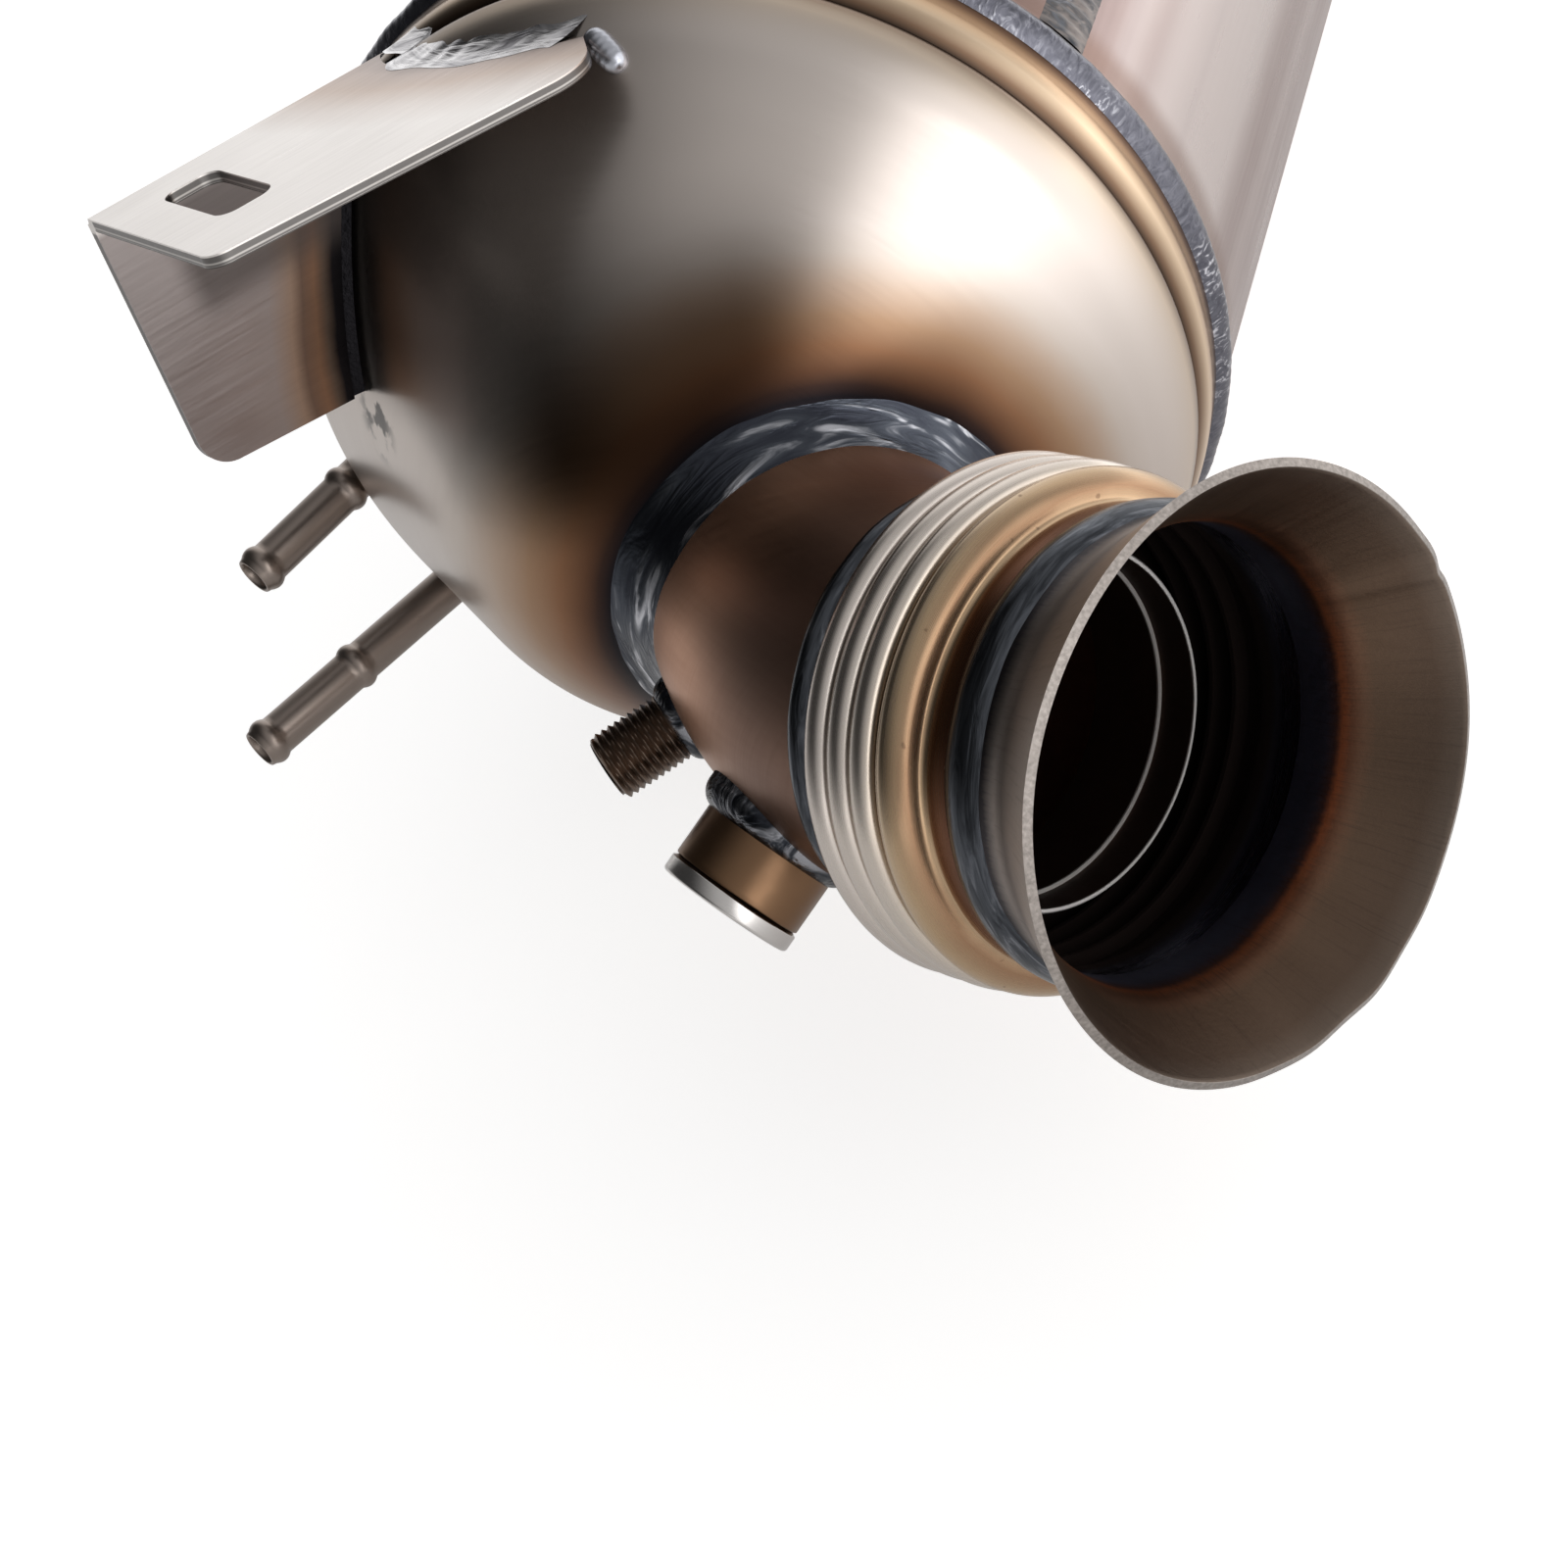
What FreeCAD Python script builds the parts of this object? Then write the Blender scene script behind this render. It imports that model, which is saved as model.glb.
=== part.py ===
"""Diesel particulate filter: canister, domed outlet end, bellows outlet and fittings.

The canister's axis lies along Y and the origin is the centre of the inlet
flange's face. The outlet end looks towards -Y, up is +Z and the outlet pipe
turns towards +X. All sizes are in millimetres and live in one sheet.
"""
import FreeCAD, Part
import math
import os

import Sketcher

App = FreeCAD
Vector = App.Vector

SIZES = [
    ("can_radius", 82.5, "outside radius of the canister"),
    ("can_wall", 1.5, "sheet thickness of the canister"),
    ("can_length", 215, "length between the two rim welds"),
    ("rim_bead_rise", 2.0, "height of a rim weld above the sheet"),
    ("rim_bead_half", 4.0, "half the width of a rim weld"),
    ("seam_rise", 0.5, "height of the long seam above the canister"),
    ("seam_angle", 6.8, "angle that the long seam covers"),
    ("seam_turn", 24.6, "angle of the long seam from +X towards +Z"),
    ("dome_wall", 1.8, "sheet thickness of the outlet dome"),
    ("rib_start", 7.0, "rim to the start of the dome's rib"),
    ("rib_end", 15.0, "rim to the groove beside the rib"),
    ("rib_radius", 9.0, "radius of the rib in section"),
    ("groove_depth", 1.7, "depth of the groove below the canister's radius"),
    ("crown_start", 17.0, "rim to the start of the crown's knuckle"),
    ("crown_step", 0.7, "canister radius less the knuckle's radius"),
    ("knuckle_radius", 17.3, "bend between the skirt and the cone"),
    ("cone_angle", 44.2, "slope of the dome's cone from the axis"),
    ("crown_radius", 55.0, "radius of the dome's top"),
    ("inlet_cone_length", 52, "length of the plain inlet cone"),
    ("inlet_skirt", 10, "straight skirt of the inlet cone"),
    ("inlet_neck_radius", 31, "outside radius of the inlet neck"),
    ("inlet_neck_length", 33, "length of the inlet neck with its flange"),
    ("inlet_wall", 2.0, "wall of the inlet neck"),
    ("flange_radius", 39, "outside radius of the clamp flange"),
    ("flange_rim", 4.0, "straight rim of the clamp flange"),
    ("flange_slope", 3.5, "length of the clamp flange's tapered back"),
    ("flange_land", 1.5, "land between the neck and the taper"),
    ("mat_gap", 6.0, "thickness of the support mats"),
    ("filter_start", 14, "rim to the filter block"),
    ("filter_length", 120, "length of the filter block"),
    ("block_gap", 14, "gap between the two blocks"),
    ("catalyst_length", 55, "length of the catalyst block"),
    ("retainer_width", 5.0, "length of each mat retaining ring"),
    ("retainer_lip", 9.0, "height of the retaining ring's inner lip"),
    ("neck_x", 26.0, "outlet neck base from the axis, sideways"),
    ("neck_seat", 7.5, "dome surface down to the neck's base centre"),
    ("neck_height", -11.7, "outlet neck base height"),
    ("neck_base_angle", 28.3, "direction of the neck at its base"),
    ("outlet_angle", 62.3, "direction of the outlet pipe"),
    ("elbow_radius", 85.2, "centre line radius of the neck's bend"),
    ("elbow_drop", 1.7, "fall of the centre line along the bend"),
    ("neck_base_radius", 29.6, "neck outside radius at its base"),
    ("neck_end_radius", 33.0, "neck outside radius at the bellows"),
    ("neck_wall", 1.5, "wall of the neck"),
    ("neck_inset", 6.0, "length of neck that stands inside the dome"),
    ("fillet_width", 6.4, "width of the big neck weld"),
    ("fillet_height", 6.0, "height of the big neck weld"),
    ("ring_bead_rise", 2.2, "height of the weld between neck and bellows"),
    ("ring_bead_half", 2.8, "half the width of that weld"),
    ("bellows_wall", 0.6, "wall of the bellows"),
    ("cuff_length", 8.4, "plain cuff before the first ridge"),
    ("ridge_radius", 40.4, "outside radius of the ridges"),
    ("ridge_round", 2.32, "radius of a ridge's crest"),
    ("ridge_pitch", 5.0, "distance between ridges"),
    ("ridge_half", 2.28, "half the width of a ridge"),
    ("ridge_root", 35.4, "outside radius between the ridges"),
    ("shoulder_radius", 39.9, "outside radius of the shoulder after the ridges"),
    ("shoulder_round", 2.6, "small bend at the start of the shoulder"),
    ("shoulder_fall", 7.0, "large bend of the shoulder"),
    ("shoulder_end", 30.0, "neck joint to the foot of the shoulder"),
    ("tail_radius", 35.2, "outside radius of the bellows' tail"),
    ("tail_end", 38.0, "neck joint to the end of the bellows"),
    ("flare_wall", 1.4, "wall of the flared outlet"),
    ("flare_start", 42.0, "neck joint to the start of the flare"),
    ("flare_bend", 12.0, "bend radius at the start of the flare"),
    ("flare_angle", 32.0, "half angle of the flare"),
    ("flare_lip_radius", 45.1, "outside radius of the flare's lip"),
    ("band_rise", 1.4, "height of the weld band at the flare"),
    ("band_half", 3.9, "half the width of the weld band"),
    ("outer_liner_radius", 30.2, "outside radius of the outer liner"),
    ("outer_liner_end", 12.7, "neck joint to the outer liner's edge"),
    ("inner_liner_radius", 28.3, "outside radius of the inner liner"),
    ("inner_liner_end", 21.8, "neck joint to the inner liner's edge"),
    ("liner_wall", 0.8, "wall of the liners"),
    ("liner_start", 2.0, "neck joint to the liners' flange"),
    ("liner_flange", 1.2, "thickness of the liners' flange"),
    ("nipple_place", 0.19, "place of the nipple along the bend"),
    ("nipple_turn", 1.2, "turn of the nipple below the horizontal"),
    ("nipple_radius", 6.0, "outside radius of the threaded nipple"),
    ("nipple_shank", 5.6, "radius of the plain shank under the thread"),
    ("nipple_start", 4.5, "neck's skin to the first thread"),
    ("nipple_bore", 3.5, "bore radius of the nipple"),
    ("nipple_reach", 14.9, "nipple length beyond the neck"),
    ("boss_place", 0.61, "place of the sensor boss along the bend"),
    ("boss_turn", 18.0, "turn of the sensor boss below the horizontal"),
    ("boss_radius", 11.5, "outside radius of the sensor boss"),
    ("boss_bore", 6.25, "thread radius of the sensor boss"),
    ("boss_floor", 1.0, "neck's skin to the end of the boss's thread"),
    ("probe_hole", 5.2, "radius of the hole under the thread, through the neck"),
    ("boss_reach", 11.0, "boss length beyond the neck"),
    ("boss_groove", 0.5, "width of the groove under the boss's ring"),
    ("boss_ring_radius", 11.75, "outside radius of the ring"),
    ("boss_ring_height", 3.4, "height of the ring"),
    ("fitting_weld_rise", 2.0, "height of the welds on the neck's fittings"),
    ("nipple_weld_width", 2.0, "width of the nipple's weld"),
    ("boss_weld_width", 2.4, "width of the boss's weld"),
    ("pipe_radius", 4.0, "outside radius of the pressure pipes"),
    ("pipe_bore", 3.0, "bore radius of the pressure pipes"),
    ("pipe_bead_rise", 0.65, "height of a pipe's beads"),
    ("pipe_bead_half", 1.7, "half the width of a pipe's bead"),
    ("pipe_stop", 24.8, "free end to the middle bead"),
    ("pipe_end_bead", 2.6, "free end to the end bead"),
    ("pipe_tip", 3.7, "pipe radius at the very end"),
    ("pipe_weld_width", 1.3, "width of the pipes' welds"),
    ("pipe_root", 4.0, "length of pipe that stands inside the dome"),
    ("upper_pipe_inset", 0.71, "upper pipe's root inside the canister's radius"),
    ("upper_pipe_turn", 178.42, "upper pipe's root, angle from +X towards +Z"),
    ("upper_pipe_length", 31.8, "upper pipe beyond the dome"),
    ("upper_pipe_heading", 30.8, "upper pipe's direction from -Y towards -X"),
    ("upper_pipe_lift", -0.5, "upper pipe's slope above the horizontal"),
    ("lower_pipe_inset", 1.01, "lower pipe's root inside the canister's radius"),
    ("lower_pipe_turn", 198.23, "lower pipe's root, angle from +X towards +Z"),
    ("lower_pipe_length", 52.1, "lower pipe beyond the dome"),
    ("lower_pipe_heading", 32.6, "lower pipe's direction from -Y towards -X"),
    ("lower_pipe_lift", 2.5, "lower pipe's slope above the horizontal"),
    ("sheet_wall", 2.2, "sheet thickness of the bracket"),
    ("bend_radius", 1.2, "outside radius of the bracket's fold"),
    ("top_width", 49.6, "width of the bracket's top at its free end"),
    ("top_taper", 0.141, "growth of the top's width along its length"),
    ("side_height", 48.4, "height of the bracket's side at its free end"),
    ("side_taper", 0.064, "growth of the side's height along its length"),
    ("bracket_length", 84, "length of the bracket before it is trimmed"),
    ("fold_length", 74.2, "free end of the fold to its foot on the rim"),
    ("fold_turn", 105.2, "foot of the fold, angle from +X towards +Z"),
    ("fold_set", 3.5, "foot of the fold in front of the rim"),
    ("fold_inset", 3.0, "foot of the fold inside the canister's radius"),
    ("bracket_heading", 34.7, "bracket's length from +Y towards +X"),
    ("bracket_dip", 10.5, "fall of the bracket towards the canister"),
    ("bracket_roll", 0.7, "rise of the bracket's top away from the fold"),
    ("top_far", 67.3, "length of the top's open edge"),
    ("top_far_lead", 7.5, "length that the far corner's rounding takes"),
    ("top_far_round", 10.5, "corner radius at the far end of the open edge"),
    ("top_far_slant", 63.0, "slope of the far end's cut back edge"),
    ("top_corner", 4.0, "corner radius of the bracket's top"),
    ("side_corner", 6.0, "corner radius of the bracket's side"),
    ("slot_start", 9.4, "free end to the slot"),
    ("slot_width", 10.5, "width of the slot along the bracket"),
    ("slot_near", 10.8, "fold to the slot"),
    ("slot_length", 24.6, "length of the slot across the bracket"),
    ("slot_corner", 3.2, "corner radius of the slot"),
    ("bracket_weld_size", 2.6, "size of the bracket's welds"),
    ("bead_length", 9.4, "length of the short corner bead"),
    ("bead_radius", 2.3, "radius of the short corner bead"),
    ("bead_chamfer", 1.0, "rounded ends of the short corner bead"),
    ("bead_along", 75.8, "free end to the short bead's middle"),
    ("bead_across", 48.0, "fold to the short bead's middle"),
    ("bead_down", 3.4, "bracket's top to the short bead's middle"),
    ("bead_tilt", 40.5, "lean of the short bead from the bracket's width"),
]

doc = App.newDocument("filter_canister")
sheet = doc.addObject("Spreadsheet::Sheet", "Sizes")
for row, (name, value, note) in enumerate(SIZES, start=1):
    sheet.set("A%d" % row, name)
    sheet.set("B%d" % row, str(value))
    sheet.set("C%d" % row, note)
    sheet.setAlias("B%d" % row, name)
doc.recompute()


class Size:
    """A number together with the sheet formula that gives it."""

    def __init__(self, value, text):
        self.value = float(value)
        self.text = text

    @staticmethod
    def of(other):
        if isinstance(other, Size):
            return other
        return Size(other, "(%r)" % float(other))

    def join(self, other, sign, value):
        return Size(value, "(%s %s %s)" % (self.text, sign, other.text))

    def __add__(self, other):
        other = Size.of(other)
        return self.join(other, "+", self.value + other.value)

    def __radd__(self, other):
        return Size.of(other) + self

    def __sub__(self, other):
        other = Size.of(other)
        return self.join(other, "-", self.value - other.value)

    def __rsub__(self, other):
        return Size.of(other) - self

    def __mul__(self, other):
        other = Size.of(other)
        return self.join(other, "*", self.value * other.value)

    def __rmul__(self, other):
        return Size.of(other) * self

    def __truediv__(self, other):
        other = Size.of(other)
        return self.join(other, "/", self.value / other.value)

    def __neg__(self):
        return Size(0, "0") - self


def size(name):
    """The named size from the sheet."""
    return Size(sheet.get(name), "Sizes." + name)


def sine(angle):
    return Size(math.sin(math.radians(angle.value)), "sin(%s)" % angle.text)


def cosine(angle):
    return Size(math.cos(math.radians(angle.value)), "cos(%s)" % angle.text)


def tangent(angle):
    return Size(math.tan(math.radians(angle.value)), "tan(%s)" % angle.text)


def bind(item, prop, amount):
    """Give one property its value and its formula."""
    amount = Size.of(amount)
    if "." not in prop:
        setattr(item, prop, amount.value)
    item.setExpression(prop, amount.text)


def arc_between(start, end, radius, side):
    """Arc from start to end; side +1 bulges to the right of the way, -1 to the left."""
    way = end - start
    half = way.Length / 2
    rise = math.sqrt(max(radius * radius - half * half, 0.0))
    normal = Vector(-way.y, way.x, 0)
    normal.normalize()
    centre = (start + end) * 0.5 + normal * (rise * side)
    circle = Part.Circle(centre, Vector(0, 0, 1), radius)
    first = math.atan2(start.y - centre.y, start.x - centre.x)
    last = math.atan2(end.y - centre.y, end.x - centre.x)
    if side > 0:
        return Part.ArcOfCircle(circle, first, last), 1, 2
    return Part.ArcOfCircle(circle, last, first), 2, 1


def draw_outline(sketch, outline):
    """Closed outline: corners (across, along), or (across, along, radius, side) before an arc."""
    corners = [(Size.of(c[0]), Size.of(c[1])) for c in outline]
    ends = []
    count = len(outline)
    for index, corner in enumerate(outline):
        start = Vector(corners[index][0].value, corners[index][1].value, 0)
        after = corners[(index + 1) % count]
        end = Vector(after[0].value, after[1].value, 0)
        if len(corner) == 2:
            geometry = sketch.addGeometry(Part.LineSegment(start, end), False)
            ends.append((geometry, 1, 2))
        else:
            arc, first, last = arc_between(start, end, Size.of(corner[2]).value, corner[3])
            geometry = sketch.addGeometry(arc, False)
            ends.append((geometry, first, last))
    for index in range(count):
        here = ends[index]
        after = ends[(index + 1) % count]
        sketch.addConstraint(Sketcher.Constraint("Coincident", here[0], here[2], after[0], after[1]))
    for index, corner in enumerate(outline):
        geometry, first, last = ends[index]
        for kind, amount in zip(("DistanceX", "DistanceY"), corners[index]):
            rule = Sketcher.Constraint(kind, geometry, first, amount.value)
            number = sketch.addConstraint(rule)
            sketch.setExpression("Constraints[%d]" % number, amount.text)
        if len(corner) == 4:
            radius = Size.of(corner[2])
            number = sketch.addConstraint(Sketcher.Constraint("Radius", geometry, radius.value))
            sketch.setExpression("Constraints[%d]" % number, radius.text)


def new_sketch(body, name, plane):
    sketch = body.newObject("Sketcher::SketchObject", name)
    base = [item for item in body.Origin.OriginFeatures if item.Role == plane][0]
    sketch.AttachmentSupport = [(base, "")]
    sketch.MapMode = "FlatFace"
    return sketch


def turned(name, outline, plane="XY_Plane", angle=None):
    """A body turned about its own Y axis (XY plane) or Z axis (XZ plane)."""
    body = doc.addObject("PartDesign::Body", name)
    sketch = new_sketch(body, name + "_outline", plane)
    draw_outline(sketch, outline)
    turn = body.newObject("PartDesign::Revolution", name + "_turn")
    turn.Profile = sketch
    turn.ReferenceAxis = (sketch, ["V_Axis"])
    if angle is None:
        turn.Angle = 360
    else:
        turn.Midplane = True
        bind(turn, "Angle", angle)
    body.Tip = turn
    doc.recompute()
    return body


def at_rim(body):
    """Seat a body on the outlet rim's plane."""
    bind(body, "Placement.Base.y", RIM_PLACE)
    doc.recompute()
    return body


def placed(body, centre, direction):
    """Stand a body's own Z axis along direction, at centre."""
    body.Placement = App.Placement(centre, App.Rotation(Vector(0, 0, 1), direction))
    doc.recompute()
    return body


def cut(name, base, tool):
    item = doc.addObject("Part::Cut", name)
    item.Base = base
    item.Tool = tool
    doc.recompute()
    return item


def common(name, base, tool):
    item = doc.addObject("Part::Common", name)
    item.Base = base
    item.Tool = tool
    doc.recompute()
    return item


PARTS = []


def keep(item, node):
    """Mark a finished piece of the object with its node name."""
    item.Label = node
    PARTS.append(item)
    return item


RIM_PLACE = -(size("can_length") + size("inlet_cone_length") + size("inlet_neck_length"))


# Canister

def dome_corners(offset):
    """Corners of the dome's crown, moved inwards by offset, from the knuckle to the axis."""
    angle = size("cone_angle")
    start = size("can_radius") - size("crown_step")
    knuckle_x = start - size("knuckle_radius")
    knuckle = size("knuckle_radius") - offset
    crown = size("crown_radius") - offset
    bend_x = knuckle_x + knuckle * cosine(angle)
    bend_y = size("crown_start") + knuckle * sine(angle)
    full_x = knuckle_x + size("knuckle_radius") * cosine(angle)
    full_y = size("crown_start") + size("knuckle_radius") * sine(angle)
    run = (full_x - size("crown_radius") * cosine(angle)) / sine(angle)
    centre = full_y + run * cosine(angle) - size("crown_radius") * sine(angle)
    top_x = crown * cosine(angle)
    top_y = centre + crown * sine(angle)
    return [
        (start - offset, -size("crown_start"), knuckle, -1),
        (bend_x, -bend_y),
        (top_x, -top_y, crown, -1),
        (Size(0, "0"), -(centre + crown)),
    ]


def skirt_corners():
    """Outside of the dome's skirt from the rim to the groove."""
    groove = size("can_radius") - size("groove_depth")
    return [
        (size("can_radius"), Size(0, "0")),
        (size("can_radius"), -size("rib_start"), size("rib_radius"), -1),
        (groove, -size("rib_end")),
    ]


def make_envelope(name, extra):
    """Solid filled form of dome and canister, larger by extra, used to trim what meets them."""
    radius = size("can_radius") + extra
    crown = dome_corners(-extra)
    outline = [
        (Size(0, "0"), size("can_length")),
        (radius, size("can_length")),
        (radius, -size("rib_start") - extra, size("rib_radius") + extra, -1),
        (size("can_radius") - size("groove_depth") + extra, -size("rib_end")),
    ] + crown
    return at_rim(turned(name, outline))


def make_can():
    inner = size("can_radius") - size("can_wall")
    outline = [
        (inner, Size(0, "0")),
        (size("can_radius"), Size(0, "0")),
        (size("can_radius"), size("can_length")),
        (inner, size("can_length")),
    ]
    keep(at_rim(turned("Can", outline)), "can_shell")


def make_rim_weld(name, node, along):
    radius = size("can_radius")
    half = size("rim_bead_half")
    rise = size("rim_bead_rise")
    bulge = (half * half + rise * rise) / (2 * rise)
    outline = [(radius, along - half, bulge, 1), (radius, along + half)]
    return keep(at_rim(turned(name, outline)), node)


def make_seam():
    inner = size("can_radius")
    outer = inner + size("seam_rise")
    start = size("rim_bead_half")
    stop = size("can_length") - size("rim_bead_half")
    outline = [(inner, start), (outer, start), (outer, stop), (inner, stop)]
    body = at_rim(turned("Seam", outline, angle=size("seam_angle")))
    body.Placement.Rotation = App.Rotation(Vector(0, 1, 0), -sheet.get("seam_turn"))
    doc.recompute()
    keep(body, "can_seam_weld")


def make_blocks():
    outer = size("can_radius") - size("can_wall")
    inner = outer - size("mat_gap")
    filter_end = size("filter_start") + size("filter_length")
    catalyst_start = filter_end + size("block_gap")
    catalyst_end = catalyst_start + size("catalyst_length")
    for name, start, stop in (("filter", size("filter_start"), filter_end),
                              ("catalyst", catalyst_start, catalyst_end)):
        block = [(Size(0, "0"), start), (inner, start), (inner, stop), (Size(0, "0"), stop)]
        keep(at_rim(turned(name + "_block", block)), name + "_monolith")
        mat = [(inner, start), (outer, start), (outer, stop), (inner, stop)]
        keep(at_rim(turned(name + "_support", mat)), name + "_mat")
    width = size("retainer_width")
    wall = size("can_wall")
    lip = outer - size("retainer_lip")
    low = size("filter_start")
    ring = [(lip, low - wall), (outer, low - wall), (outer, low), (lip, low)]
    keep(at_rim(turned("Outlet_retainer", ring)), "outlet_retaining_ring")
    high = catalyst_end
    ring = [(lip, high), (outer, high), (outer, high + width), (outer - wall, high + width),
            (outer - wall, high + wall), (lip, high + wall)]
    keep(at_rim(turned("Inlet_retainer", ring)), "inlet_retaining_ring")


def make_inlet():
    """Plain cone, neck and clamp flange at the inlet end."""
    wall = size("dome_wall")
    base = size("can_length")
    bend = base + size("inlet_skirt")
    top = base + size("inlet_cone_length")
    neck = size("inlet_neck_radius")
    can = size("can_radius")
    outline = [
        (can - wall, base), (can, base), (can, bend), (neck, top),
        (neck - size("inlet_wall"), top), (neck - size("inlet_wall"), top - wall),
        (can - wall, bend - wall / 2),
    ]
    keep(at_rim(turned("Inlet_cone", outline)), "inlet_cone")
    inner = neck - size("inlet_wall")
    flange = size("flange_radius")
    end = Size(0, "0")
    rim = -size("flange_rim")
    taper = rim - size("flange_slope")
    land = neck + size("flange_land")
    low = -size("inlet_neck_length")
    outline = [(inner, low), (neck, low), (neck, taper), (inner, taper)]
    keep(turned("Inlet_neck", outline), "inlet_neck")
    outline = [
        (inner, taper), (land, taper), (flange, rim), (flange, end), (inner, end),
    ]
    keep(turned("Inlet_flange", outline), "inlet_flange")
    half = size("ring_bead_half")
    rise = size("ring_bead_rise")
    bulge = (half * half + rise * rise) / (2 * rise)
    outline = [(neck, low, bulge, 1), (neck, low + 2 * half)]
    keep(turned("Inlet_weld", outline), "inlet_neck_weld")


# Outlet neck and its bend

def dome_depth(across):
    """Depth of the dome's outside in front of the rim at a distance from the axis."""
    knee, cone, top, end = dome_corners(Size(0, "0"))
    if across < top[0].value:
        crown = sheet.get("crown_radius")
        centre = -end[1].value - crown
        return centre + math.sqrt(crown * crown - across * across)
    if across < cone[0].value:
        slope = (top[1].value - cone[1].value) / (top[0].value - cone[0].value)
        return -(cone[1].value + slope * (across - cone[0].value))
    knuckle = sheet.get("knuckle_radius")
    middle = knee[0].value - knuckle
    reach = min(across - middle, knuckle)
    return sheet.get("crown_start") + math.sqrt(knuckle * knuckle - reach * reach)


def base_point():
    side = sheet.get("neck_x")
    height = sheet.get("neck_height")
    depth = dome_depth(math.hypot(side, height)) - sheet.get("neck_seat")
    return Vector(side, RIM_PLACE.value - depth, height)


def heading(angle):
    turn = math.radians(angle)
    return Vector(math.sin(turn), -math.cos(turn), 0)


def bend_point(share):
    """Point and direction on the neck's centre line; share runs from 0 at the dome to 1."""
    first = sheet.get("neck_base_angle")
    angle = first + (sheet.get("outlet_angle") - first) * share
    radius = sheet.get("elbow_radius")
    low = math.radians(first)
    high = math.radians(angle)
    shift = Vector(radius * (math.cos(low) - math.cos(high)),
                   -radius * (math.sin(high) - math.sin(low)),
                   -sheet.get("elbow_drop") * share)
    return base_point() + shift, heading(angle)


def neck_radius(share):
    first = sheet.get("neck_base_radius")
    return first + (sheet.get("neck_end_radius") - first) * share


def neck_solid(name, less, lead, tail):
    """Tapered bend lofted through circles, with straight ends of the given lengths."""
    rings = []
    places = [(0.0, -lead)] + [(step / 6.0, 0.0) for step in range(1, 6)] + [(1.0, tail)]
    for index, (share, extra) in enumerate(places):
        point, way = bend_point(share)
        ring = doc.addObject("Part::Circle", "%s_ring%d" % (name, index))
        formula = (size("neck_base_radius") * (1 - share) + size("neck_end_radius") * share) - less
        bind(ring, "Radius", formula)
        ring.Placement = App.Placement(point + way * extra, App.Rotation(Vector(0, 0, 1), way))
        rings.append(ring)
    loft = doc.addObject("Part::Loft", name)
    loft.Sections = rings
    loft.Solid = True
    doc.recompute()
    return loft


def outlet_frame():
    """End of the bend: where the bellows starts and the way the outlet looks."""
    return bend_point(1.0)


def fitting_frame(share, turn):
    """Axis of a fitting that stands out of the neck's front, turned below the horizontal."""
    point, way = bend_point(share)
    side = Vector(way.y, -way.x, 0)
    side.normalize()
    lean = math.radians(turn)
    return point, side * math.cos(lean) + Vector(0, 0, -math.sin(lean))


def make_neck():
    outer = neck_solid("Neck_outer", Size(0, "0"), sheet.get("neck_inset"), 0.0)
    inner = neck_solid("Neck_inner", size("neck_wall"), sheet.get("neck_inset") + 1, 0.5)
    return outer, inner


def make_neck_weld(outer, envelope):
    radius = size("neck_base_radius")
    width = size("fillet_width")
    height = size("fillet_height")
    deep = Size.of(16)
    bulge = Size.of(7.2)
    outline = [
        (radius - 3, -deep), (radius + width + 1.2, -deep), (radius + width, -1.2, bulge, 1),
        (radius - 0.5, height), (radius - 3, height),
    ]
    point, way = bend_point(0.0)
    ring = placed(turned("Neck_weld_ring", outline, plane="XZ_Plane"), point, way)
    ring = cut("Neck_weld_on_dome", ring, envelope)
    return keep(cut("Neck_weld", ring, outer), "neck_weld")


# Bellows and flared outlet

def bellows_chain(offset, crest_side):
    """Corners of the ridges from the cuff to the tail, moved inwards by offset."""
    chain = []
    crest = size("ridge_radius") - size("ridge_round")
    half = size("ridge_half")
    root = size("ridge_root") - offset
    for number in range(3):
        middle = size("cuff_length") + size("ridge_round") + size("ridge_pitch") * number
        chain.append((root, middle - half + offset))
        chain.append((crest, middle - half + offset, size("ridge_round") - offset, crest_side))
        chain.append((crest, middle + half - offset))
        chain.append((root, middle + half - offset))
    return chain


def make_bellows():
    wall = size("bellows_wall")
    cuff = size("neck_end_radius")
    tail = size("tail_radius")
    shoulder = size("shoulder_radius")
    last = size("cuff_length") + size("ridge_round") + size("ridge_pitch") * 2 + size("ridge_half")
    start = last + (size("ridge_pitch") - 2 * size("ridge_half"))
    small = size("shoulder_round")
    foot = size("shoulder_end")
    outer = [(cuff, Size(0, "0")), (cuff, size("cuff_length"))]
    outer += bellows_chain(Size(0, "0"), 1)
    outer += [
        (size("ridge_root"), start),
        (shoulder - small, start, small, 1),
        (shoulder, start + small, size("shoulder_fall"), 1),
        (tail + 0.6, foot - 0.4),
        (tail, foot),
        (tail, size("tail_end")),
    ]
    inner = [(tail - wall, size("tail_end")), (tail - wall, foot - wall),
             (shoulder - small - wall, start + small)]
    back = bellows_chain(wall, -1)
    flipped = []
    for index in range(len(back) - 1, -1, -1):
        corner = back[index]
        flipped.append((corner[0], corner[1]))
    shaped = []
    for index, corner in enumerate(flipped):
        if index % 4 == 1:
            shaped.append((corner[0], corner[1], size("ridge_round") - wall, -1))
        else:
            shaped.append(corner)
    inner += [(size("ridge_root") - wall, start + wall)] + shaped
    inner += [(cuff - wall, size("cuff_length")), (cuff - wall, Size(0, "0"))]
    point, way = outlet_frame()
    body = placed(turned("Bellows", outer + inner, plane="XZ_Plane"), point, way)
    return keep(body, "bellows")


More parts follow.
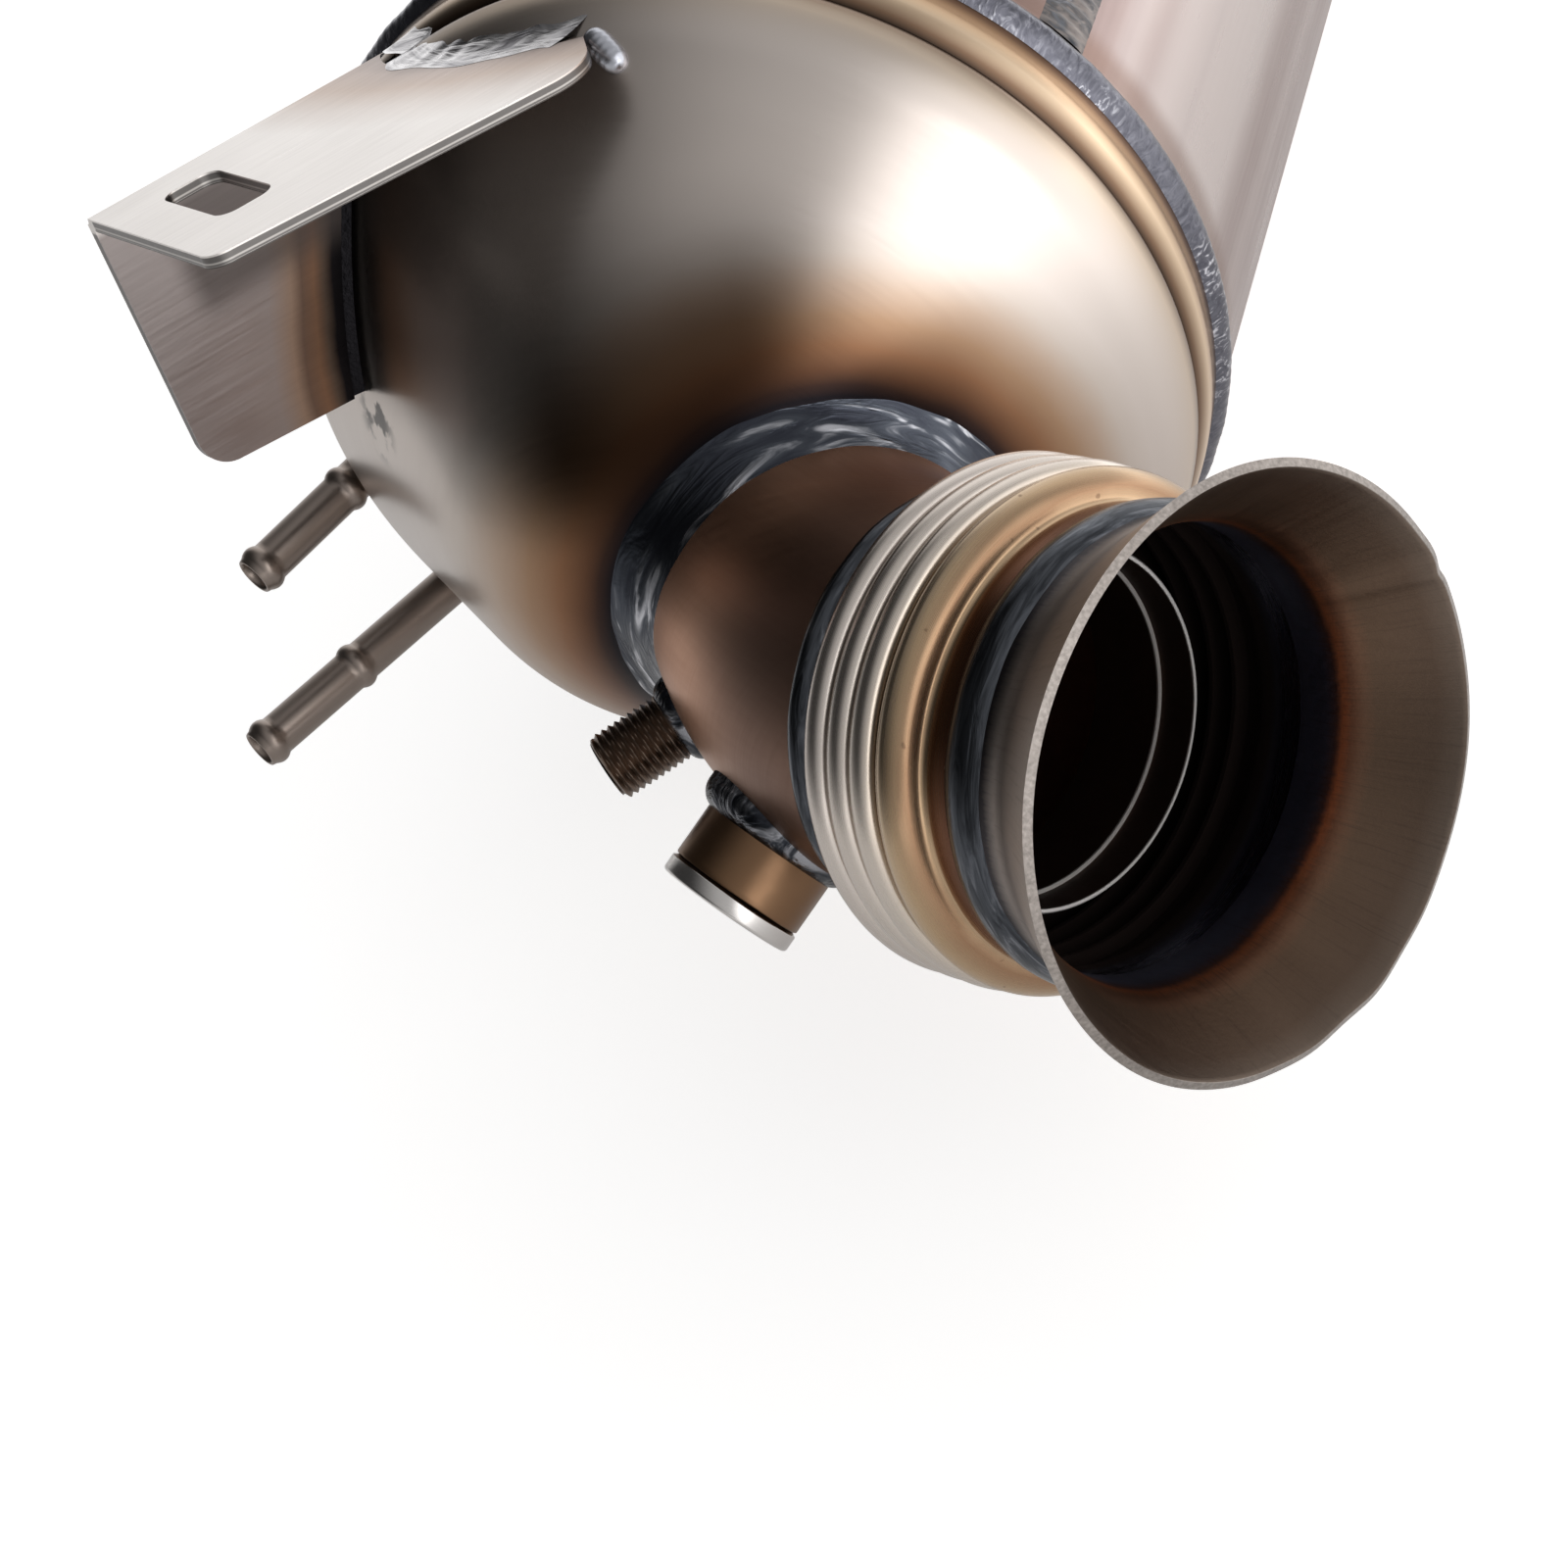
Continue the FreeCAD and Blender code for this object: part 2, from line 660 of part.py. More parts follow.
def make_ring_weld(neck_outer):
    radius = size("neck_end_radius")
    half = size("ring_bead_half")
    rise = size("ring_bead_rise")
    bulge = ((half * half + rise * rise) / (2 * rise))
    outline = [(radius - 1, -half), (radius, -half, bulge, 1), (radius, half), (radius, Size(0, "0")),
               (radius - 1, Size(0, "0"))]
    point, way = outlet_frame()
    ring = placed(turned("Ring_weld_blank", outline, plane="XZ_Plane"), point, way)
    return keep(cut("Ring_weld", ring, neck_outer), "bellows_weld")


def make_flare():
    wall = size("flare_wall")
    angle = size("flare_angle")
    tail = size("tail_radius")
    bend = size("flare_bend")
    start = size("flare_start")
    lip = size("flare_lip_radius")
    bend_r = tail + bend * (1 - cosine(angle))
    bend_z = start + bend * sine(angle)
    lip_z = bend_z + (lip - bend_r) / tangent(angle)
    inner_bend = bend + wall
    in_r = tail + bend - inner_bend * cosine(angle)
    in_z = start + inner_bend * sine(angle)
    lip_in_r = lip - wall * cosine(angle)
    lip_in_z = lip_z + wall * sine(angle)
    outline = [
        (tail - wall, size("tail_end")), (tail, size("tail_end")), (tail, start, bend, -1),
        (bend_r, bend_z), (lip, lip_z), (lip_in_r, lip_in_z),
        (in_r, in_z, inner_bend, 1), (tail - wall, start),
    ]
    point, way = outlet_frame()
    keep(placed(turned("Flare", outline, plane="XZ_Plane"), point, way), "flared_outlet")
    half = size("band_half")
    rise = size("band_rise")
    bulge = (half * half + rise * rise) / (2 * rise)
    middle = size("tail_end")
    outline = [(tail, middle - half, bulge, 1), (tail, middle + half)]
    keep(placed(turned("Band", outline, plane="XZ_Plane"), point, way), "flare_weld")


def make_liners():
    wall = size("liner_wall")
    start = size("liner_start")
    flange = size("liner_flange")
    seat = size("neck_end_radius") - size("bellows_wall")
    point, way = outlet_frame()
    outer = size("outer_liner_radius")
    end = size("outer_liner_end")
    outline = [
        (outer - wall, start), (seat, start), (seat, start + flange), (outer, start + flange),
        (outer, end), (outer - wall, end),
    ]
    keep(placed(turned("Outer_liner", outline, plane="XZ_Plane"), point, way), "outer_liner")
    inner = size("inner_liner_radius")
    end = size("inner_liner_end")
    outline = [
        (inner - wall, start - flange), (seat, start - flange), (seat, start), (inner, start),
        (inner, end), (inner - wall, end),
    ]
    keep(placed(turned("Inner_liner", outline, plane="XZ_Plane"), point, way), "inner_liner")


# Fittings on the neck

def fitting_tube(name, share, turn, outline, neck_outer):
    point, side = fitting_frame(share, turn)
    tube = placed(turned(name + "_blank", outline, plane="XZ_Plane"), point, side)
    return cut(name, tube, neck_outer)


def weld_collar(name, share, turn, inner, width, neck_outer):
    """Sloped weld round the foot of a fitting."""
    point, side = fitting_frame(share, turn)
    skin = neck_radius(share)
    rise = size("fitting_weld_rise")
    low = Size.of(skin - 9)
    outline = [
        (inner, low), (inner + width, low), (inner + width, Size.of(skin) - rise, width * 1.6, 1),
        (inner, Size.of(skin) + rise),
    ]
    ring = placed(turned(name + "_blank", outline, plane="XZ_Plane"), point, side)
    return cut(name, ring, neck_outer)


def drill_at(name, point, side, radius, low, high):
    drill = doc.addObject("Part::Cylinder", name)
    bind(drill, "Radius", radius)
    drill.Height = high - low
    drill.Placement = App.Placement(point + side * low, App.Rotation(Vector(0, 0, 1), side))
    doc.recompute()
    return drill


def make_nipple(neck_outer):
    share = sheet.get("nipple_place")
    turn = sheet.get("nipple_turn")
    skin = neck_radius(share)
    outer = size("nipple_radius")
    shank = size("nipple_shank")
    bore = size("nipple_bore")
    low = Size.of(skin - 6)
    start = Size.of(skin) + size("nipple_start")
    high = Size.of(skin) + size("nipple_reach")
    outline = [
        (bore, low), (shank, low), (shank, start), (outer, start), (outer, high - 0.8),
        (outer - 0.8, high), (bore, high),
    ]
    keep(fitting_tube("Nipple", share, turn, outline, neck_outer), "threaded_nipple")
    weld = weld_collar("Nipple_weld", share, turn, shank, size("nipple_weld_width"), neck_outer)
    point, side = fitting_frame(share, turn)
    return weld, drill_at("Nipple_drill", point, side, bore, skin - 8, skin + 4)


def make_boss(neck_outer):
    share = sheet.get("boss_place")
    turn = sheet.get("boss_turn")
    skin = neck_radius(share)
    outer = size("boss_radius")
    bore = size("boss_bore")
    low = Size.of(skin - 8)
    top = Size.of(skin) + size("boss_reach")
    hole = size("probe_hole")
    floor = Size.of(skin) + size("boss_floor")
    outline = [(hole, low), (outer, low), (outer, top), (bore, top), (bore, floor), (hole, floor)]
    boss = fitting_tube("Boss", share, turn, outline, neck_outer)
    keep(boss, "sensor_boss")
    weld = weld_collar("Boss_weld", share, turn, outer, size("boss_weld_width"), neck_outer)
    groove = size("boss_groove")
    ring = size("boss_ring_radius")
    edge = 0.6
    high = top + size("boss_ring_height")
    outline = [
        (bore, top), (ring - 0.9, top), (ring - 0.9, top + groove), (ring, top + groove),
        (ring, high - edge), (ring - edge, high), (bore, high),
    ]
    point, side = fitting_frame(share, turn)
    keep(placed(turned("Boss_ring", outline, plane="XZ_Plane"), point, side), "sensor_boss_ring")
    return weld, drill_at("Boss_drill", point, side, hole, skin - 12, skin + 6)


def make_neck_tube(outer, inner, drills):
    tube = cut("Neck_tube", outer, inner)
    for index, drill in enumerate(drills):
        tube = cut("Neck_drilled%d" % index, tube, drill)
    return keep(tube, "outlet_neck")


# Dome and the pressure pipes that stand in it

def pipe_frame(which):
    """Root on the dome's skin and direction of one pressure pipe."""
    across = sheet.get("can_radius") - sheet.get(which + "_pipe_inset")
    turn = math.radians(sheet.get(which + "_pipe_turn"))
    root = Vector(across * math.cos(turn), RIM_PLACE.value - dome_depth(across),
                  across * math.sin(turn))
    way = math.radians(sheet.get(which + "_pipe_heading"))
    lift = math.radians(sheet.get(which + "_pipe_lift"))
    aim = Vector(-math.sin(way) * math.cos(lift), -math.cos(way) * math.cos(lift),
                 math.sin(lift))
    return root, aim


def make_pipe(which, envelope):
    """Beaded hose pipe; its free end looks forward and it stands in a hole in the dome."""
    root, aim = pipe_frame(which)
    radius = size("pipe_radius")
    bore = size("pipe_bore")
    rise = size("pipe_bead_rise")
    half = size("pipe_bead_half")
    bulge = (half * half + rise * rise) / (2 * rise)
    top = size(which + "_pipe_length")
    stop = top - size("pipe_stop")
    bead = top - size("pipe_end_bead")
    low = -size("pipe_root")
    outline = [
        (bore, low), (radius, low),
        (radius, stop - half, bulge, 1), (radius, stop + half),
        (radius, bead - half, bulge, 1), (radius, bead + half),
        (size("pipe_tip"), top), (bore, top),
    ]
    pipe = placed(turned(which + "_pipe", outline, plane="XZ_Plane"), root, aim)
    keep(pipe, which + "_pressure_pipe")
    width = size("pipe_weld_width")
    outline = [
        (radius, low - 4), (radius + width, low - 4), (radius + width, Size(0, "0"), width * 1.4, 1),
        (radius, width),
    ]
    ring = placed(turned(which + "_pipe_weld_blank", outline, plane="XZ_Plane"), root, aim)
    keep(cut(which + "_pipe_weld", ring, envelope), which + "_pipe_weld")
    reach = sheet.get("pipe_root") + 12
    return drill_at(which + "_pipe_hole", root, aim, radius, -reach, 18.0)


def make_dome(neck_outer, pipe_holes):
    inner_skirt = size("can_radius") - size("groove_depth") - 1.3
    inner = dome_corners(size("dome_wall"))
    outline = skirt_corners() + dome_corners(Size(0, "0"))
    back = [
        (inner[3][0], inner[3][1], size("crown_radius") - size("dome_wall"), 1),
        (inner[2][0], inner[2][1]),
        (inner[1][0], inner[1][1], size("knuckle_radius") - size("dome_wall"), 1),
        (inner[0][0], inner[0][1]),
        (inner_skirt, -size("rib_end")),
        (inner_skirt, Size(0, "0")),
    ]
    dome = at_rim(turned("Dome_shell", outline + back))
    dome = cut("Dome_open", dome, neck_outer)
    for index, hole in enumerate(pipe_holes):
        dome = cut("Dome_drilled%d" % index, dome, hole)
    return keep(dome, "outlet_dome")


# Folded bracket

def bracket_frame():
    """Corner of the bracket's fold at its free end, and the bracket's own axes."""
    heading_turn = math.radians(sheet.get("bracket_heading"))
    dip = math.radians(sheet.get("bracket_dip"))
    roll = math.radians(sheet.get("bracket_roll"))
    along = Vector(math.sin(heading_turn) * math.cos(dip),
                   math.cos(heading_turn) * math.cos(dip), -math.sin(dip))
    level = Vector(math.cos(heading_turn), -math.sin(heading_turn), 0)
    down = along.cross(level)
    across = level * math.cos(roll) - down * math.sin(roll)
    down = along.cross(across)
    turn = math.radians(sheet.get("fold_turn"))
    radius = sheet.get("can_radius") - sheet.get("fold_inset")
    foot = Vector(radius * math.cos(turn), RIM_PLACE.value - sheet.get("fold_set"),
                  radius * math.sin(turn))
    corner = foot - along * sheet.get("fold_length")
    return App.Placement(corner, App.Rotation(along, across, down, "XYZ"))


def pad(body, sketch, amount, backwards=False):
    feature = body.newObject("PartDesign::Pad", sketch.Name + "_pad")
    feature.Profile = sketch
    bind(feature, "Length", amount)
    feature.Reversed = backwards
    body.Tip = feature
    doc.recompute()
    return feature


def slot_outline():
    x0 = size("slot_start")
    x1 = x0 + size("slot_width")
    y0 = size("slot_near")
    y1 = y0 + size("slot_length")
    r = size("slot_corner")
    return [
        (x0 + r, y0), (x1 - r, y0, r, 1), (x1, y0 + r), (x1, y1 - r, r, 1),
        (x1 - r, y1), (x0 + r, y1, r, 1), (x0, y1 - r), (x0, y0 + r, r, 1),
    ]


def make_bracket_body(name, extra, slot):
    """Folded sheet: top, fold and side; extra thickens it all round for the weld blanks."""
    body = doc.addObject("PartDesign::Body", name)
    wall = size("sheet_wall")
    bend = size("bend_radius")
    length = size("bracket_length")
    width = size("top_width") + extra
    corner = size("top_corner")
    taper = size("top_taper")
    far = size("top_far") + extra
    lead = size("top_far_lead")
    slant = size("top_far_slant")
    far_x = far + lead * cosine(slant)
    far_y = width + taper * far - lead * sine(slant)
    top = [
        (Size(0, "0"), bend), (length, bend), (length, far_y - (length - far_x) * tangent(slant)),
        (far_x, far_y, size("top_far_round"), 1), (far - lead, width + taper * (far - lead)),
        (corner, width + taper * corner, corner, 1), (Size(0, "0"), width - corner),
    ]
    sketch = new_sketch(body, name + "_top", "XY_Plane")
    draw_outline(sketch, top)
    pad(body, sketch, wall + extra)
    height = size("side_height") + extra
    fall = size("side_taper")
    corner = size("side_corner")
    side = [
        (Size(0, "0"), bend), (length, bend), (length, height + fall * length),
        (corner, height + fall * corner, corner, 1), (Size(0, "0"), height - corner),
    ]
    sketch = new_sketch(body, name + "_side", "XZ_Plane")
    draw_outline(sketch, side)
    pad(body, sketch, wall + extra, backwards=True)
    fold = [
        (Size(0, "0"), bend, bend, -1), (bend, Size(0, "0")), (wall, Size(0, "0")), (wall, wall),
        (Size(0, "0"), wall),
    ]
    sketch = new_sketch(body, name + "_fold", "YZ_Plane")
    draw_outline(sketch, fold)
    pad(body, sketch, length)
    if slot:
        sketch = new_sketch(body, name + "_slot", "XY_Plane")
        draw_outline(sketch, slot_outline())
        before = body.Shape.Volume
        hole = body.newObject("PartDesign::Pocket", name + "_slot_cut")
        hole.Profile = sketch
        hole.Type = 1
        hole.Midplane = True
        body.Tip = hole
        doc.recompute()
        if before - body.Shape.Volume < 100:
            raise RuntimeError("the slot cuts nothing")
    body.Placement = bracket_frame()
    doc.recompute()
    return body


def make_bracket(envelope, swollen, rim_weld):
    """Sheet that ends short of the dome, and the weld that fills the gap right through it."""
    blank = make_bracket_body("Bracket_blank", Size(0, "0"), True)
    grown = size("bracket_weld_size")
    thick = make_bracket_body("Bracket_thick", grown, False)
    shift = bracket_frame()
    move = App.Placement(Vector(0, -grown.value / 2, -grown.value / 2), App.Rotation())
    thick.Placement = shift.multiply(move)
    doc.recompute()
    band = common("Bracket_weld_band", thick, swollen)
    band = cut("Bracket_weld_trim", band, envelope)
    band = cut("Bracket_weld", band, rim_weld)
    keep(band, "bracket_weld")
    bead = make_corner_bead(envelope, band)
    sheet_metal = cut("Bracket_short_of_dome", blank, swollen)
    sheet_metal = cut("Bracket_beside_rim", sheet_metal, rim_weld)
    keep(cut("Bracket", sheet_metal, bead), "mounting_bracket")


def make_corner_bead(envelope, band):
    """Short thick bead beside the far corner of the bracket's top."""
    half = size("bead_length") / 2
    radius = size("bead_radius")
    chamfer = size("bead_chamfer")
    outline = [
        (Size(0, "0"), -half), (radius - chamfer, -half), (radius, chamfer - half),
        (radius, half - chamfer), (radius - chamfer, half), (Size(0, "0"), half),
    ]
    frame = bracket_frame()
    middle = Vector(sheet.get("bead_along"), sheet.get("bead_across"), sheet.get("bead_down"))
    lean = math.radians(sheet.get("bead_tilt"))
    way = frame.Rotation.multVec(Vector(0, math.cos(lean), math.sin(lean)))
    bead = placed(turned("Corner_bead_blank", outline, plane="XZ_Plane"), frame.multVec(middle), way)
    bead = cut("Corner_bead_on_dome", bead, envelope)
    return keep(cut("Corner_bead", bead, band), "bracket_corner_weld")


def main():
    envelope = make_envelope("Envelope", Size(0, "0"))
    swollen = make_envelope("Swollen_envelope", size("bracket_weld_size"))
    make_can()
    rim_weld = make_rim_weld("Rim_weld", "outlet_rim_weld", Size(0, "0"))
    make_rim_weld("Inlet_rim_weld", "inlet_rim_weld", size("can_length"))
    make_seam()
    make_blocks()
    make_inlet()
    neck_outer, neck_inner = make_neck()
    neck_weld = make_neck_weld(neck_outer, envelope)
    nipple_weld, nipple_drill = make_nipple(neck_outer)
    boss_weld, boss_drill = make_boss(neck_outer)
    nipple_weld = cut("Nipple_weld_trim", nipple_weld, boss_weld)
    keep(cut("Nipple_weld_foot", nipple_weld, neck_weld), "nipple_weld")
    keep(boss_weld, "sensor_boss_weld")
    make_neck_tube(neck_outer, neck_inner, [nipple_drill, boss_drill])
    holes = [make_pipe(which, envelope) for which in ("upper", "lower")]
    make_dome(neck_outer, holes)
    make_bracket(envelope, swollen, rim_weld)
    make_bellows()
    make_ring_weld(neck_outer)
    make_flare()
    make_liners()
    export()


def export():
    doc.recompute()
    os.makedirs("parts", exist_ok=True)
    for item in doc.Objects:
        if "Invalid" in item.State or "Error" in item.State:
            raise RuntimeError("%s is not valid" % item.Name)
    for item in PARTS:
        shape = item.Shape
        if shape.isNull() or not shape.isValid():
            raise RuntimeError("%s has no valid shape" % item.Label)
        shape.exportStep("parts/%s.step" % item.Label)
        box = shape.BoundBox
        print("%-24s solids %d volume %.0f box %.0f %.0f %.0f" % (
            item.Label, len(shape.Solids), shape.Volume, box.XLength, box.YLength, box.ZLength))


main()
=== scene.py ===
"""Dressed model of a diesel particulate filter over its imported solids.

Every class builds one sub-assembly. Sizes are in millimetres in the row frame:
the canister lies along Y, the domed outlet looks towards -Y and up is +Z.
"""
import logging
import math
from dataclasses import dataclass, field
from enum import Enum
from typing import Any, Callable, Mapping, Sequence

import bmesh
import bpy
import numpy as np
from mathutils import Matrix, Vector


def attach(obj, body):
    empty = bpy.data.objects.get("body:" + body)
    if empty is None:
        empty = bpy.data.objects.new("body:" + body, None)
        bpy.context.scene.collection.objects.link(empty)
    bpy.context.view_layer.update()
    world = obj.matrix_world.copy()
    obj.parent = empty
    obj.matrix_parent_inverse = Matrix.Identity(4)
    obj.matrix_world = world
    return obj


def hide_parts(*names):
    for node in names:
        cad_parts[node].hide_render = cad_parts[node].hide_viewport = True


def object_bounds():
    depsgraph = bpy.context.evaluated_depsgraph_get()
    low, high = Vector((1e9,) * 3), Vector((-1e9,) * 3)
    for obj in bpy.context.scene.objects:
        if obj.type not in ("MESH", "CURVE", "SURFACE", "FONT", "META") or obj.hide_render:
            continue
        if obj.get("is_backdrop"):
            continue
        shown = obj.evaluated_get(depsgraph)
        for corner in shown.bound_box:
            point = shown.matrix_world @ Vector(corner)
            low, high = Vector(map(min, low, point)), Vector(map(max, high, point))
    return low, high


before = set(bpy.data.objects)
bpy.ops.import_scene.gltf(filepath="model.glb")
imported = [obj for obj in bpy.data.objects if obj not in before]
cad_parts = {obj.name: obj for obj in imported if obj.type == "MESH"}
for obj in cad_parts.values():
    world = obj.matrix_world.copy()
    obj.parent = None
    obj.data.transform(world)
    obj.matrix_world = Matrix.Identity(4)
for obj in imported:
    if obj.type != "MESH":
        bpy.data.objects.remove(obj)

LOG = logging.getLogger("filter")
MM = 0.001
PER_METRE = 1000.0
RIM = -300.0
BEND_BASE = np.array([26.0, -368.784, -11.7])
NECK_FOOT = (26.0, -368.8, -11.6)
NECK_WAY = (0.506, -0.860, -0.064)
SHEET_ALONG = (0.559747, 0.808377, -0.182236)
SHEET_ACROSS = (0.82335, -0.567407, 0.012012)
SHEET_DOWN = (-0.093691, -0.156768, -0.983182)
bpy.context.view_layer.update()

Colour = tuple[float, float, float, float]
Stops = Sequence[tuple[float, Sequence[float]]]
Pair = tuple[np.ndarray, np.ndarray]
Ripple = Callable[[np.ndarray, np.ndarray, np.ndarray], Pair]


def unit(vector: Sequence[float]) -> np.ndarray:
    """The vector at length one."""
    array = np.asarray(vector, float)
    return array / np.linalg.norm(array)


def tone(red: float, green: float, blue: float) -> Colour:
    """Linear colour from display values of 0 to 255.

    Args:
        red: display value.
        green: display value.
        blue: display value.

    Returns:
        The linear colour with an alpha of one.
    """
    values = []
    for channel in (red, green, blue):
        share = channel / 255.0
        values.append(share / 12.92 if share <= 0.04045 else ((share + 0.055) / 1.055) ** 2.4)
    return values[0], values[1], values[2], 1.0


STEEL = tone(204, 194, 187)

# Shader maths


class Sock:
    """A number in a shader, with Python's operators."""

    def __init__(self, graph: "Graph", link: Any) -> None:
        """Wrap one output socket of the graph."""
        self.graph = graph
        self.link = link

    def maths(self, operation: str, *values: Any) -> "Sock":
        """One Math node.

        Args:
            operation: name of the Math node's operation.
            values: its inputs in order.

        Returns:
            The node's result.
        """
        node = self.graph.node("ShaderNodeMath", {"operation": operation}, dict(enumerate(values)))
        return Sock(self.graph, node.outputs[0])

    def __add__(self, other: Any) -> "Sock":
        """Sum."""
        return self.maths("ADD", self, other)

    __radd__ = __add__

    def __mul__(self, other: Any) -> "Sock":
        """Product."""
        return self.maths("MULTIPLY", self, other)

    __rmul__ = __mul__

    def __sub__(self, other: Any) -> "Sock":
        """Difference."""
        return self.maths("SUBTRACT", self, other)

    def __rsub__(self, other: Any) -> "Sock":
        """Difference with the number in front."""
        return self.maths("SUBTRACT", other, self)

    def __truediv__(self, other: Any) -> "Sock":
        """Quotient."""
        return self.maths("DIVIDE", self, other)

    def __pow__(self, other: Any) -> "Sock":
        """Power."""
        return self.maths("POWER", self, other)

    def highest(self, other: Any) -> "Sock":
        """The larger of two numbers."""
        return self.maths("MAXIMUM", self, other)

    def lowest(self, other: Any) -> "Sock":
        """The smaller of two numbers."""
        return self.maths("MINIMUM", self, other)

    def between(self, low: float, high: float) -> "Sock":
        """Smooth step from 0 at low to 1 at high."""
        node = self.graph.node(
            "ShaderNodeMapRange", {"interpolation_type": "SMOOTHSTEP"}, {0: self, 1: low, 2: high}
        )
        return Sock(self.graph, node.outputs[0])

    def band(self, low: float, rise: float, fall: float, high: float) -> "Sock":
        """One between rise and fall, none below low and above high."""
        return self.between(low, rise) * (1 - self.between(fall, high))


class Graph:
    """Node tree of one material or of the world."""

    def __init__(self, tree: Any) -> None:
        """Start from an empty tree."""
        self.tree = tree
        tree.nodes.clear()

    def node(self, kind: str, settings: Mapping[str, Any], inputs: Mapping[Any, Any]) -> Any:
        """Add one node.

        Args:
            kind: Blender's node type.
            settings: properties, set first; "stops" fills a colour ramp.
            inputs: input name or number to a value, a link or a Sock.

        Returns:
            The new node.
        """
        item = self.tree.nodes.new(kind)
        for key, value in settings.items():
            if key == "stops":
                self.fill_ramp(item.color_ramp, value)
            else:
                setattr(item, key, value)
        for key, value in inputs.items():
            if isinstance(value, Sock):
                value = value.link
            if isinstance(value, bpy.types.NodeSocket):
                self.tree.links.new(value, item.inputs[key])
            else:
                item.inputs[key].default_value = value
        return item

    @staticmethod
    def fill_ramp(ramp: Any, stops: Stops) -> None:
        """Give a colour ramp its stops.

        Args:
            ramp: the node's ramp.
            stops: places with their colours.
        """
        while len(ramp.elements) > 1:
            ramp.elements.remove(ramp.elements[-1])
        ramp.elements[0].position = stops[0][0]
        ramp.elements[0].color = stops[0][1]
        for place, colour in stops[1:]:
            ramp.elements.new(place).color = colour

    def place(self) -> Any:
        """Object coordinates in metres."""
        return self.node("ShaderNodeTexCoord", {}, {}).outputs["Object"]

    def attribute(self, name: str) -> Any:
        """A vector kept on the mesh."""
        return self.node("ShaderNodeAttribute", {"attribute_name": name}, {}).outputs["Vector"]

    def vector(self, operation: str, *values: Any) -> Any:
        """One Vector Math node; its vector, or its number for a dot product or a length."""
        node = self.node("ShaderNodeVectorMath", {"operation": operation}, dict(enumerate(values)))
        return node.outputs[1 if operation in ("DOT_PRODUCT", "LENGTH", "DISTANCE") else 0]

    def dot(self, vector: Any, way: Sequence[float]) -> Sock:
        """Share of a vector along a way."""
        return Sock(self, self.vector("DOT_PRODUCT", vector, tuple(way)))

    def split(self, vector: Any) -> tuple[Sock, Sock, Sock]:
        """The three numbers of a vector."""
        node = self.node("ShaderNodeSeparateXYZ", {}, {0: vector})
        return Sock(self, node.outputs[0]), Sock(self, node.outputs[1]), Sock(self, node.outputs[2])

    def join(self, across: Any, along: Any, up: Any) -> Any:
        """A vector from three numbers."""
        return self.node("ShaderNodeCombineXYZ", {}, {0: across, 1: along, 2: up}).outputs[0]

    def noise(self, vector: Any, scale: float, detail: float = 3.0, rough: float = 0.55,
              warp: float = 0.0) -> Sock:
        """Soft noise from 0 to 1; warp bends it into swirls.

        Args:
            vector: where the noise is read.
            scale: number of waves in a unit.
            detail: number of finer layers.
            rough: strength of the finer layers.
            warp: how far it is bent.

        Returns:
            The noise.
        """
        node = self.node("ShaderNodeTexNoise", {}, {
            "Vector": vector, "Scale": scale, "Detail": detail, "Roughness": rough, "Distortion": warp})
        return Sock(self, node.outputs[0])

    def ramp(self, share: Sock, stops: Stops) -> Any:
        """Colour that follows a number."""
        return self.node("ShaderNodeValToRGB", {"stops": stops}, {0: share}).outputs[0]

    def mix(self, share: Any, first: Any, second: Any, blend: str = "MIX") -> Any:
        """Blend two colours."""
        settings = {"data_type": "RGBA", "blend_type": blend, "clamp_factor": True}
        return self.node("ShaderNodeMix", settings, {0: share, 6: first, 7: second}).outputs[2]

    def bump(self, height: Sock, distance: float) -> Any:
        """Normal tilted by a height, with the metres that a height of one stands for."""
        inputs = {"Height": height, "Distance": distance, "Strength": 1.0}
        return self.node("ShaderNodeBump", {}, inputs).outputs[0]

    def from_line(self, point: Any, origin: Sequence[float], way: Sequence[float]) -> Sock:
        """Distance from a line, in millimetres.

        Args:
            point: object coordinates in metres.
            origin: a point of the line in millimetres.
            way: the line's direction.

        Returns:
            The distance.
        """
        start = tuple(np.asarray(origin, float) * MM)
        offset = self.vector("SUBTRACT", point, start)
        cross = self.vector("CROSS_PRODUCT", offset, tuple(unit(way)))
        return Sock(self, self.vector("LENGTH", cross)) * PER_METRE


class Coat(Enum):
    """How a metal's surface was left."""

    SATIN = "satin"
    WELD = "weld"
    POLISHED = "polished"


